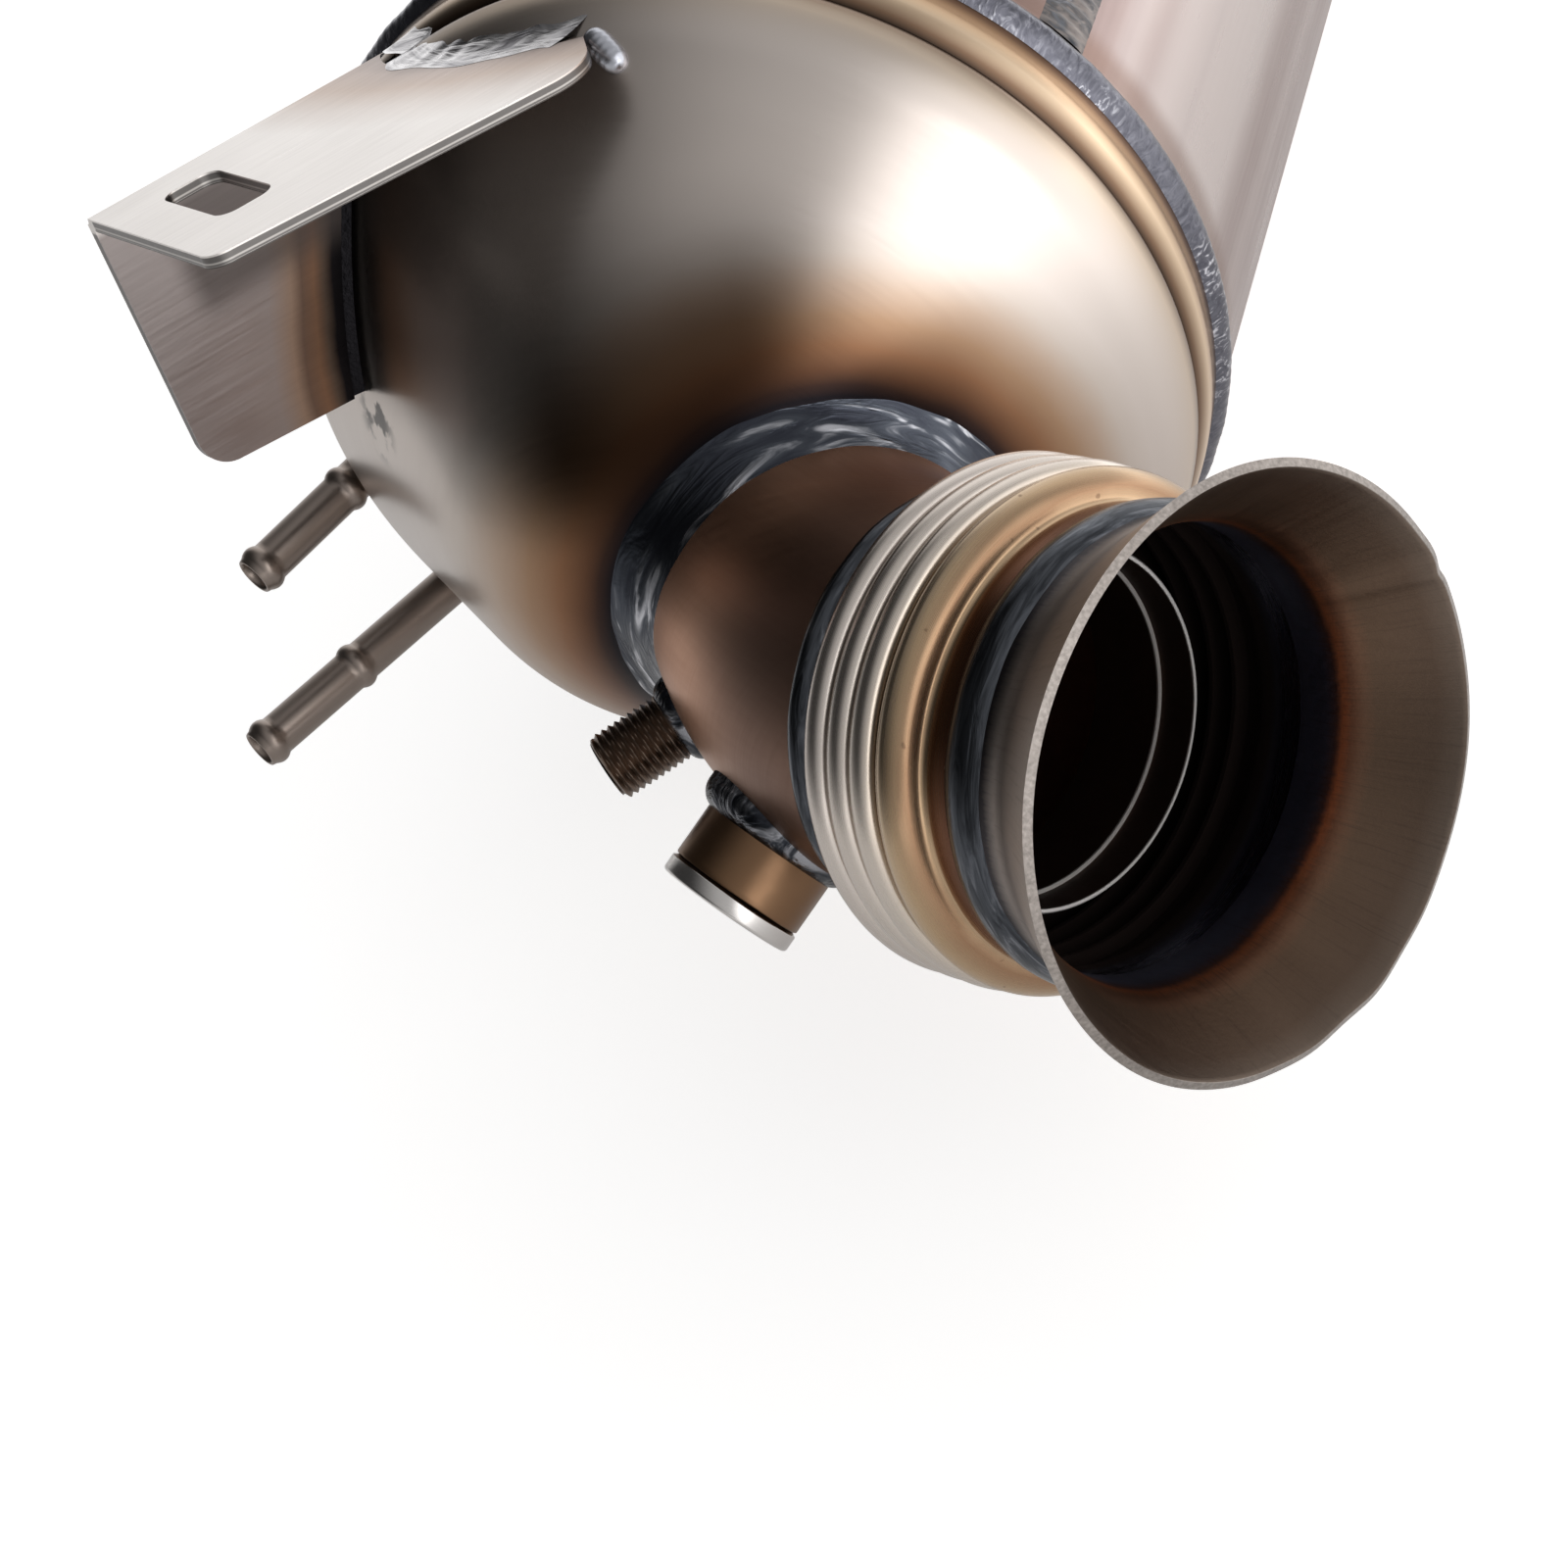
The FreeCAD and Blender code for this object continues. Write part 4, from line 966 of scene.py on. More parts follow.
@dataclass(frozen=True)
class DomeForm:
    """Outline of the dome: radius against depth in front of the rim."""

    radius: float = 82.5
    knuckle: float = 17.3
    crown: float = 55.0
    angle: float = 44.2

    def outline(self) -> np.ndarray:
        """Rim, rib, groove, knuckle, cone and crown as (radius, depth).

        Returns:
            An (n, 2) array.
        """
        slope = math.radians(self.angle)
        middle = self.radius - 0.7 - self.knuckle
        bend = arc((middle, 17.0), self.knuckle, 0.0, self.angle, 18)
        far = (bend[-1][0] - self.crown * math.cos(slope)) / math.sin(slope)
        centre = bend[-1][1] + far * math.cos(slope) - self.crown * math.sin(slope)
        top = arc((0.0, centre), self.crown, self.angle, 90.0, 44)
        rib = bulge((self.radius, 7.0), (self.radius - 1.7, 15.0), 0.98, 14)
        lead = run((self.radius, 0.0), (self.radius, 7.0))
        cone = run(bend[-1], top[0])
        return np.concatenate([lead[:-1], rib, bend, cone[1:-1], top])

    def signed(self, points: np.ndarray) -> np.ndarray:
        """Distance of points outside the dome's skin, measured across the canister's axis.

        Args:
            points: array of points in millimetres.

        Returns:
            The distances, negative inside.
        """
        line = self.outline()
        depth = RIM - points[..., 1]
        skin = np.interp(depth, line[:, 1], line[:, 0], left=self.radius, right=-20.0)
        return np.hypot(points[..., 0], points[..., 2]) - skin

    def meet(self, start: np.ndarray, way: np.ndarray, low: float, high: float) -> np.ndarray:
        """Distance along a way at which lines leave the dome, by halving the span.

        Args:
            start: the lines' first points.
            way: their direction.
            low: a distance inside the dome.
            high: a distance outside it.

        Returns:
            The distances.
        """
        below = np.full(start.shape[:-1], low)
        above = np.full(start.shape[:-1], high)
        for _ in range(40):
            middle = (below + above) / 2.0
            inside = self.signed(start + middle[..., None] * way) < 0.0
            below = np.where(inside, middle, below)
            above = np.where(inside, above, middle)
        return (below + above) / 2.0


@dataclass(frozen=True)
class Fitting:
    """Place and size of a fitting: share of the bend, lean, radius, reach from the skin and bore."""

    share: float
    lean: float
    radius: float
    reach: float
    bore: float


@dataclass(frozen=True)
class BendForm:
    """Centre line of the outlet neck: an arc in the level plane."""

    first: float = 28.3
    last: float = 62.3
    radius: float = 85.2
    drop: float = 1.7
    base_radius: float = 29.6
    end_radius: float = 33.0

    def start(self) -> np.ndarray:
        """Direction of the neck where it leaves the dome."""
        turn = math.radians(self.first)
        return unit((math.sin(turn), -math.cos(turn), 0.0))

    def at(self, share: np.ndarray) -> Pair:
        """Points and directions at shares from 0 at the dome to 1 at the bellows.

        Args:
            share: shares of the bend.

        Returns:
            The points and the unit directions.
        """
        share = np.asarray(share, float)
        low = math.radians(self.first)
        angle = low + math.radians(self.last - self.first) * share
        shift = np.stack([self.radius * (math.cos(low) - np.cos(angle)),
                          -self.radius * (np.sin(angle) - math.sin(low)), -self.drop * share], -1)
        way = np.stack([np.sin(angle), -np.cos(angle), np.zeros_like(angle)], -1)
        return BEND_BASE + shift, way

    def fitting(self, item: Fitting) -> tuple[Axis, float]:
        """Axis of a fitting in the neck's front, and the neck's radius there.

        Args:
            item: the fitting, with its share of the bend and its lean below the level.

        Returns:
            The fitting's axis, and the radius of the neck's skin.
        """
        point, way = self.at(np.array(item.share))
        side = unit((way[1], -way[0], 0.0))
        tilt = math.radians(item.lean)
        aim = side * math.cos(tilt) + np.array([0.0, 0.0, -math.sin(tilt)])
        skin = self.base_radius + (self.end_radius - self.base_radius) * item.share
        return Axis(tuple(point), tuple(aim)), skin


DOME = DomeForm()
BEND = BendForm()
OUTLET = Axis(*(tuple(value) for value in BEND.at(np.array(1.0))))
CAN = Axis((0.0, RIM, 0.0), (0.0, -1.0, 0.0))


# Sub-assemblies


@dataclass
class Assembly:
    """Pieces that are dressed and tied to the part's body, and solids that get a better material."""

    made: list[Any] = field(default_factory=list)

    def dress(self, obj: Any, finish: Any, slot: str, *nodes: str) -> None:
        """Give a piece its finish and its place in the model.

        Args:
            obj: the piece.
            finish: its material.
            slot: not used.
            nodes: solids that the piece stands for.
        """
        obj.data.materials.clear()
        obj.data.materials.append(finish)
        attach(obj, "root")
        if nodes:
            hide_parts(*nodes)
        self.made.append(obj)

    def paint(self, finish: Any, *nodes: str) -> None:
        """Give solids that stay as they are a better material.

        Args:
            finish: their material.
            nodes: the solids' names.
        """
        for node in nodes:
            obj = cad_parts[node]
            obj.data.materials.clear()
            obj.data.materials.append(finish)
            self.made.append(obj)

    def report(self) -> None:
        """Log every piece with its number of faces."""
        for obj in self.made:
            LOG.info("%s: %s with %d faces", type(self).__name__, obj.name, len(obj.data.polygons))


@dataclass
class Canister(Assembly):
    """Shell, seam, rim welds, inner blocks and the plain inlet end."""

    radius: float = 82.5
    wall: float = 1.5
    length: float = 215.0
    bead_half: float = 4.0
    bead_rise: float = 2.0
    seam_turn: float = 24.6
    seam_half: float = 3.4
    seam_rise: float = 0.45
    seam_ripple: float = 0.09

    def build(self) -> None:
        """Make and dress the canister's pieces."""
        steel = CanFinish("can_satin_steel", tone(192, 181, 177), 0.3, grain=(900.0, 14.0, 900.0),
                          depth=0.000008).build()
        bead = WeldFinish("rim_bead_metal", tone(84, 84, 92), 0.3, pale=tone(112, 112, 120), bright=0.9,
                          stretch=(60.0, 60.0, 0.5), depth=0.00003).build()
        shell = run((self.radius, 0.0), (self.radius, -self.length), step=8.0)
        inner = run((self.radius - self.wall, -self.length), (self.radius - self.wall, 0.0), step=8.0)
        can = CAN.turned("can_shell_skin", np.concatenate([shell, inner]), 256)
        self.dress(can, steel, "can_steel", "can_shell")
        for name, node, along in (("outlet_rim_bead", "outlet_rim_weld", 0.0),
                                  ("inlet_rim_bead", "inlet_rim_weld", -self.length)):
            profile = bulge((self.radius - 0.3, along - self.bead_half),
                            (self.radius - 0.3, along + self.bead_half), self.bead_rise + 0.3, 13)
            piece = CAN.turned(name, profile, 1400, ripple=self.ripple)
            self.dress(piece, bead, "weld_bead", node)
        self.seam()
        dull = Finish("ring_satin_steel", tone(176, 168, 162), 0.4).build()
        self.paint(dull, "outlet_retaining_ring", "inlet_retaining_ring")
        cone = Finish("cone_satin_steel", tone(200, 189, 184), 0.33, grain=(60.0, 1800.0, 60.0)).build()
        self.paint(cone, "inlet_cone", "inlet_neck", "inlet_flange")
        self.paint(bead, "inlet_neck_weld")
        ceramic = HoneycombFinish("porous_ceramic", tone(172, 158, 136), 0.85, 0.0).build()
        self.paint(ceramic, "filter_monolith", "catalyst_monolith")
        mat = Finish("fibre_mat", tone(206, 202, 190), 0.95, 0.0, Coat.WELD, depth=0.0003).build()
        self.paint(mat, "filter_mat", "catalyst_mat")

    def ripple(self, across: np.ndarray, along: np.ndarray, turn: np.ndarray) -> Pair:
        """Height of the bead times one plus small overlapping scales.

        Args:
            across: distance from the axis.
            along: place along the axis.
            turn: angle round it.

        Returns:
            The new across and along.
        """
        rise = np.clip((across - self.radius) / self.bead_rise, 0.0, 1.0)
        scale = 0.03 * np.sin(turn * 230.0 + 2.0 * rise) + 0.07 * waves(turn, 3, 40, 60)
        return across + rise * scale, along

    def seam(self) -> None:
        """Long seam: a low bead with cross ripples, raised on a strip of the shell."""
        half = math.radians(self.seam_half)
        turn = np.linspace(-half, half, 15) + math.radians(self.seam_turn)
        along = np.linspace(self.bead_half + 0.2, self.length - self.bead_half - 0.2, 620)
        angle, place = np.meshgrid(turn, along, indexing="ij")
        share = (angle - math.radians(self.seam_turn)) / half
        ribs = (1 - share ** 2) * np.sin(place * 2.6 + share * share * 2.0)
        rise = self.seam_rise * (1 - share ** 4) + self.seam_ripple * ribs
        radius = self.radius - 0.05 + np.maximum(rise, 0.0)
        points = np.stack([radius * np.cos(angle), RIM + place, radius * np.sin(angle)], -1)
        wrap = np.stack([share, share * 0.0, place * 0.4], -1).reshape(-1, 3)
        faces = grid_faces(len(turn), len(along), False, False)
        piece = make_object("can_seam_bead", points.reshape(-1, 3), faces, wrap)
        steel = WeldFinish("seam_grey_steel", tone(128, 120, 116), 0.4, bright=0.8,
                           stretch=(1.0, 1.0, 1.0), depth=0.00003).build()
        self.dress(piece, steel, "seam_weld", "can_seam_weld")


@dataclass
class OutletDome(Assembly):
    """Domed end with the opening that the neck stands in."""

    around: int = 320
    wall: float = 1.26
    hole: float = 28.6

    def build(self) -> None:
        """Turn the skin, open it under the neck and give it its wall."""
        line = DOME.outline()
        turn = np.linspace(0.0, 2.0 * np.pi, self.around, endpoint=False)
        radius, angle = np.meshgrid(line[:, 0], turn, indexing="ij")
        depth = np.repeat(line[:, 1:2], self.around, 1)
        points = CAN.point(radius, depth, angle).reshape(-1, 3)
        faces = grid_faces(len(line), self.around, False, True)
        centre = points[faces].mean(1) - BEND_BASE
        way = BEND.start()
        reach = np.linalg.norm(np.cross(centre, way), axis=1)
        faces = faces[(reach > self.hole) | (centre @ way < -30.0)]
        wrap = np.stack([np.cos(angle), np.sin(angle), depth], -1).reshape(-1, 3)
        skin = make_object("outlet_dome_skin", points, faces, wrap, sharp=30.0)
        wall = skin.modifiers.new("wall", "SOLIDIFY")
        wall.thickness = self.wall * MM
        wall.offset = -1.0
        steel = DomeFinish("dome_spun_steel", depth=0.000005).build()
        self.dress(skin, steel, "dome_steel", "outlet_dome")


@dataclass
class OutletNeck(Assembly):
    """Curved neck with its big fillet weld, threaded nipple and sensor boss."""

    wall: float = 1.5
    inset: float = 6.0
    fillet_reach: float = 36.2
    fillet_height: float = 6.2
    nipple: Fitting = Fitting(0.19, 1.2, 6.0, 14.9, 3.5)
    pitch: float = 1.25
    thread: float = 0.62
    boss: Fitting = Fitting(0.61, 18.0, 11.5, 11.0, 6.25)
    gap: float = 10.85
    ring: float = 11.75
    ring_height: float = 3.4

    def build(self) -> None:
        """Make and dress the neck's pieces."""
        brown = NeckFinish("neck_browned_steel", rough=0.4, depth=0.00001).build()
        self.dress(self.tube(), brown, "heated_steel", "outlet_neck")
        weld = WeldFinish("neck_weld_metal", tone(54, 56, 64), 0.22, pale=tone(80, 84, 91),
                          bright=1.0, stretch=(2.4, 2.4, 0.45), spread=18.0, depth=0.00014).build()
        self.dress(self.fillet(), weld, "dark_weld", "neck_weld")
        self.threads()
        self.sensor()
        dark = WeldFinish("fitting_weld_metal", tone(46, 46, 52), 0.26, spread=160.0, depth=0.0003).build()
        self.paint(dark, "nipple_weld", "sensor_boss_weld", "upper_pipe_weld", "lower_pipe_weld")

    def tube(self) -> Any:
        """Tapered tube along the bend: circles whose radius grows evenly with the share.

        Returns:
            The piece.
        """
        shares = np.linspace(0.0, 1.0, 44)
        centre, way = BEND.at(shares)
        centre = np.concatenate([centre[:1] - way[:1] * self.inset, centre])
        way = np.concatenate([way[:1], way])
        shares = np.concatenate([[0.0], shares])
        radius = BEND.base_radius + (BEND.end_radius - BEND.base_radius) * shares
        side = np.stack([way[:, 1], -way[:, 0], np.zeros(len(way))], -1)
        turn = np.linspace(0.0, 2.0 * np.pi, 180, endpoint=False)
        up = np.array([0.0, 0.0, 1.0])
        layers = []
        for size, order in ((radius, slice(None)), (radius - self.wall, slice(None, None, -1))):
            out = np.cos(turn)[None, :, None] * side[:, None, :] + np.sin(turn)[None, :, None] * up
            layers.append((centre[:, None, :] + size[:, None, None] * out)[order])
        points = np.concatenate(layers)
        faces = grid_faces(len(points), len(turn), True, True)[:, ::-1]
        rows = np.arange(float(len(points)))[:, None]
        wrap = np.stack(np.broadcast_arrays(np.cos(turn), np.sin(turn), rows), -1).reshape(-1, 3)
        return make_object("outlet_neck_tube", points.reshape(-1, 3), faces, wrap)

    def fillet(self) -> Any:
        """Weld between dome and neck: a curved strip from toe to toe, with slow swells.

        The toes lie on the dome and on the neck; between them each point is
        the quadratic blend of the two toes and the inner corner.

        Returns:
            The piece.
        """
        way = BEND.start()
        axis = Axis(tuple(BEND_BASE), tuple(way))
        first, second, _ = axis.basis()
        turn = np.linspace(0.0, 2.0 * np.pi, 560, endpoint=False)
        out = np.cos(turn)[:, None] * first + np.sin(turn)[:, None] * second
        reach = self.fillet_reach + 0.9 * waves(turn, 5, 3, 9) + 0.12 * waves(turn, 6, 14, 30)
        climb = self.fillet_height + 0.8 * waves(turn, 7, 3, 9) + 0.12 * waves(turn, 8, 14, 30)
        inner = BEND_BASE + (BEND.base_radius - 0.25) * out
        outer = BEND_BASE + reach[:, None] * out
        foot = inner + DOME.meet(inner, way, -70.0, 70.0)[:, None] * way
        toe = outer + (DOME.meet(outer, way, -70.0, 70.0) - 0.25)[:, None] * way
        top = foot + climb[:, None] * way
        knee = foot * 0.35 + (toe + top) * 0.325
        share = np.linspace(0.0, 1.0, 25)[:, None, None]
        swell = np.sin(np.pi * share) * (0.32 * waves(turn, 9, 3, 11, 0.5)[None, :, None])
        points = quadratic(toe, knee, top, share) + swell * (out * 0.7 + way * 0.7)
        points = np.concatenate([points, (foot - way * 2.0)[None]])
        faces = grid_faces(len(points), len(turn), True, True)
        angle = np.broadcast_to(turn, points.shape[:2])
        place = np.repeat(np.linspace(0.0, 8.0, len(points))[:, None], len(turn), 1)
        wrap = np.stack([np.cos(angle), np.sin(angle), place], -1).reshape(-1, 3)
        return make_object("neck_fillet_weld", points.reshape(-1, 3), faces, wrap, sharp=80.0)

    def threads(self) -> None:
        """Nipple with a helical thread: the radius dips by a triangle wave of the advance."""
        axis, skin = BEND.fitting(self.nipple)
        radius, bore = self.nipple.radius, self.nipple.bore
        root = skin - 5.0
        end = skin + self.nipple.reach
        bevel = 0.8
        profile = np.concatenate([
            run((bore, root), (radius, root), step=0.8)[:-1],
            run((radius, root), (radius, end - bevel), step=0.1)[:-1],
            run((radius, end - bevel), (radius - bevel, end), (bore, end), step=0.2)[:-1],
            run((bore, end), (bore, root), step=2.0)[:-1]])

        def groove(across: np.ndarray, along: np.ndarray, turn: np.ndarray) -> Pair:
            """Dip of the thread where the profile is at full radius, from 1.2 mm above the skin.

            Args:
                across: distance from the fitting's axis.
                along: place along the axis.
                turn: angle round it.

            Returns:
                The new across and along.
            """
            phase = (along / self.pitch - turn / (2.0 * np.pi)) % 1.0
            dip = self.thread * (1.0 - np.abs(2.0 * phase - 1.0))
            on = (across > radius - 1.0) * np.clip(along - skin - 1.2, 0.0, 1.0)
            return across - dip * on, along

        piece = axis.turned("nipple_thread", profile, 96, ripple=groove, sharp=50.0)
        steel = Finish("nipple_dark_steel", tone(122, 106, 94), 0.33, grain=(300.0, 300.0, 300.0)).build()
        self.dress(piece, steel, "heated_steel", "threaded_nipple")

    def sensor(self) -> None:
        """Bronze boss, thin dark gap and polished ring, turned with rounded edges."""
        axis, skin = BEND.fitting(self.boss)
        radius, bore = self.boss.radius, self.boss.bore
        root = skin - 7.0
        top = skin + self.boss.reach
        bronze = Finish("boss_bronzed_steel", tone(128, 99, 75), grain=(200.0, 200.0, 200.0)).build()
        body = np.concatenate([
            run((bore, root), (radius, root), (radius, top - 0.3), step=0.8)[:-1],
            arc((radius - 0.3, top - 0.3), 0.3, 0.0, 90.0, 5),
            run((radius - 0.3, top), (bore, top), (bore, root), step=1.0)[1:-1]])
        self.dress(axis.turned("sensor_boss_body", body, 128), bronze, "bronzed_steel", "sensor_boss")
        crown = top + self.ring_height
        ring = np.concatenate([
            run((bore, top), (self.gap, top), (self.gap, top + 0.5), step=0.6)[:-1],
            arc((self.ring - 0.2, top + 0.7), 0.2, 270.0, 360.0, 5),
            arc((self.ring - 0.6, crown - 0.6), 0.6, 0.0, 90.0, 8),
            run((11.0, crown), (bore, crown), (bore, top), step=0.8)[:-1]])
        polish = Finish("ring_polished_steel", tone(214, 210, 207), 0.22, coat=Coat.POLISHED).build()
        collar = axis.turned("sensor_boss_collar", ring, 128)
        self.dress(collar, polish, "polished_steel", "sensor_boss_ring")


@dataclass
class OutletBellows(Assembly):
    """Bellows, welds, flared mouth and the sleeves inside it."""

    cuff: float = 33.0
    cuff_length: float = 8.4
    sheet: float = 0.6
    ridge: float = 40.4
    round: float = 2.32
    pitch: float = 5.0
    root: float = 35.4
    shoulder: float = 39.9
    shoulder_gap: float = 2.72
    shoulder_round: float = 2.6
    tail: float = 35.2
    tail_end: float = 38.0
    flare_wall: float = 1.4
    flare_bend: float = 12.0
    flare_start: float = 42.0
    lip: float = 45.1
    angle: float = 32.0
    crease: float = 178.4
    sleeve_wall: float = 1.4
    sleeve_step: float = 7.2

    def build(self) -> None:
        """Make and dress the outlet's pieces."""
        satin = BellowsFinish("bellows_satin_steel", rough=0.27, depth=0.000006).build()
        profile, inside = self.bellows_profile()
        piece = OUTLET.turned("bellows_skin", profile, 288, mark=inside, sharp=60.0)
        self.dress(piece, satin, "bellows_steel", "bellows")
        dark = WeldFinish("outlet_weld_metal", tone(52, 54, 58), 0.23, pale=tone(90, 93, 99),
                          bright=0.15, stretch=(4.0, 4.0, 1.0), spread=12.0, depth=0.00003).build()
        ring = bulge((32.7, -2.8), (32.9, 2.8), 2.2, 15)
        piece = OUTLET.turned("bellows_ring_weld", ring, 480, ripple=self.ripple)
        self.dress(piece, dark, "dark_weld", "bellows_weld")
        band_half = 3.9
        band = bulge((self.tail - 0.25, self.tail_end - band_half),
                     (self.tail - 0.25, self.tail_end + band_half), 1.75, 19)
        piece = OUTLET.turned("flare_band_weld", band, 480, ripple=self.ripple)
        self.dress(piece, dark, "dark_weld", "flare_weld")
        self.flare()
        for name, node, radius, start, end, lit in (
                ("outer_sleeve", "outer_liner", 30.2, 2.0, 12.7, tone(60, 54, 50)),
                ("inner_sleeve", "inner_liner", 28.3, 0.8, 21.8, tone(222, 219, 216))):
            lip = run((radius, end - 0.3), (radius - 0.3, end), step=0.3)
            thin, thick = radius - 0.8, radius - self.sleeve_wall
            step, rim, top = end - self.sleeve_step, self.cuff - self.sheet, start + 1.2
            bore = run((thin, end), (thin, step), (thick, step), (thick, start), step=0.15)[:-1]
            flange = run((thick, start), (rim, start), (rim, top), (radius, top))[:-1]
            skin = run((radius, top), (radius, end - 0.3))[:-1]
            profile = np.concatenate([bore, flange, skin, lip])
            soot = SleeveFinish(name + "_sooted_steel", tone(44, 34, 30), 0.6, edge=end, lip=lit).build()
            self.dress(OUTLET.turned(name, profile, 192), soot, "liner_steel", node)

    @staticmethod
    def ripple(across: np.ndarray, along: np.ndarray, turn: np.ndarray) -> Pair:
        """Slow swells and a slow wander of the bead's edge.

        Args:
            across: distance from the outlet's axis.
            along: place along the axis.
            turn: angle round it.

        Returns:
            The new across and along.
        """
        return across + 0.06 * waves(turn, 12, 5, 24, 0.6), along + 0.18 * waves(turn, 13, 4, 16, 0.6)

    def bellows_profile(self) -> Pair:
        """Outer line of cuff, three ridges, shoulder and tail, then the inner line back.

        Returns:
            The closed profile, and a mark whose first value is one inside.
        """
        first = self.cuff_length + self.round
        low, round_off, root = self.root - self.sheet, self.shoulder_round, self.root
        outer = [run((self.cuff, 0.0), (self.cuff, self.cuff_length), step=1.2)]
        for number in range(3):
            middle = first + self.pitch * number
            foot, head = middle - self.round, middle + self.round
            outer.append(np.array([[root, foot - 0.1], [root + 0.3, foot]]))
            outer.append(arc((self.ridge - self.round, middle), self.round, -90.0, 90.0, 19))
            outer.append(np.array([[root + 0.3, head], [root, head + 0.1]]))
        start = first + self.pitch * 2 + self.shoulder_gap
        outer.append(arc((self.shoulder - round_off, start + round_off), round_off, -90.0, 0.0, 10))
        outer.append(bulge((self.shoulder, start + round_off), (self.tail + 0.6, 29.6), 0.75, 14)[1:])
        outer.append(run((self.tail, 30.0), (self.tail, self.tail_end), step=1.0))
        hollow, bore = 36.8, self.tail - self.sheet
        inner = [run((bore, self.tail_end), (bore, 29.4), (hollow, start + round_off), (hollow, start + 0.9),
                     (low, start + 0.1), (low, start - 0.7), step=1.5)]
        for number in (2, 1, 0):
            middle = first + self.pitch * number
            inner.append(arc((self.ridge - self.round, middle), self.round - self.sheet, 90.0, -90.0, 13))
            inner.append(np.array([[low, middle - self.round + 0.2]]))
            if number:
                inner.append(np.array([[low, middle - self.round - 0.56]]))
        inner.append(run((self.cuff - self.sheet, self.cuff_length), (self.cuff - self.sheet, 0.0), step=2.0))
        profile = np.concatenate(outer + inner)
        mark = np.zeros((len(profile), 3))
        mark[sum(len(piece) for piece in outer):, 0] = 1.0
        return profile, mark

    def flare(self) -> None:
        """Flared mouth with a wavy lip, one soft crease and a bright rough edge.

        The wall follows the cone line; the crease adds a narrow hollow that
        grows from the bend to the lip, and the lip wanders by slow sines.
        """
        slope = math.radians(self.angle)
        wall, bend = self.flare_wall, self.flare_bend
        big = bend + wall
        start, end = self.flare_start, self.tail_end
        centre = (self.tail + bend, start)
        foot = arc(centre, bend, 180.0, 180.0 - self.angle, 12)
        low = arc(centre, big, 180.0 - self.angle, 180.0, 12)
        lip_along = foot[-1][1] + (self.lip - foot[-1][0]) / math.tan(slope)
        outer = np.concatenate([
            run((self.tail, end), (self.tail, start))[:-1], foot[:-1],
            run(foot[-1], (self.lip - 0.15, lip_along - 0.24), step=0.8)])
        inner_lip = (self.lip - wall * math.cos(slope), lip_along + wall * math.sin(slope))
        inner = np.concatenate([
            run((inner_lip[0] - 0.12, inner_lip[1] - 0.1), low[0], step=0.8)[:-1], low[:-1],
            run((self.tail - wall, start), (self.tail - wall, end))])
        edge = run((self.lip, lip_along), inner_lip, step=0.3)
        profile = np.concatenate([outer, edge, inner])
        mark = np.zeros((len(profile), 3))
        mark[len(outer) + len(edge):, 0] = 1.0
        mark[len(outer):len(outer) + len(edge), 2] = 1.0

        def bent(across: np.ndarray, along: np.ndarray, turn: np.ndarray) -> Pair:
            """Crease and wavy lip, growing from the bend.

            Args:
                across: distance from the outlet's axis.
                along: place along the axis.
                turn: angle round it.

            Returns:
                The new across and along.
            """
            grow = np.clip((along - 44.0) / 16.0, 0.0, 1.0)
            away = (turn - math.radians(self.crease) + np.pi) % (2 * np.pi) - np.pi
            fold = -0.4 * np.exp(-(away / 0.03) ** 2) + 0.25 * np.exp(-((away - 0.09) / 0.06) ** 2)
            wave = 0.3 * np.sin(turn * 17.0) * np.exp(-((turn - 1.5) / 0.35) ** 2)
            wave = wave + 0.1 * waves(turn, 21, 3, 7)
            return across + grow * (fold + wave), along + grow * 0.25 * waves(turn, 22, 3, 9)

        piece = OUTLET.turned("flared_mouth", profile, 420, ripple=bent, mark=mark, sharp=45.0)
        skin = FlareFinish("flare_browned_steel", rough=0.4, depth=0.000014).build()
        self.dress(piece, skin, "flare_steel", "flared_outlet")


@dataclass
class PressurePipe(Assembly):
    """Beaded hose pipe behind the dome."""

    name: str = "upper"
    root: tuple[float, float, float] = (-81.759, -317.588, 2.255)
    aim: tuple[float, float, float] = (-0.51202, -0.85893, -0.00873)
    length: float = 31.8
    stop: float = 24.8
    radius: float = 4.0
    bore: float = 3.0
    bead_half: float = 1.7
    bead_rise: float = 0.65
    steel: Any = None

    def build(self) -> None:
        """Turn the pipe with its two rounded beads and its open end."""
        bead = self.length - 2.6
        stop = self.length - self.stop
        radius, half, inset = self.radius, self.bead_half, -4.0
        profile = np.concatenate([
            run((radius, inset), (radius, stop - half), step=1.0)[:-1],
            bulge((radius, stop - half), (radius, stop + half), self.bead_rise, 11),
            run((radius, stop + half), (radius, bead - half), step=1.0)[1:-1],
            bulge((radius, bead - half), (radius, bead + half), self.bead_rise, 11),
            arc((3.5, self.length - 0.35), 0.35, 30.0, 150.0, 6),
            run((self.bore, self.length - 0.5), (self.bore, inset), step=2.0)])
        axis = Axis(self.root, self.aim)
        piece = axis.turned(self.name + "_hose_pipe", profile, 72)
        self.dress(piece, self.steel, "pipe_steel", self.name + "_pressure_pipe")


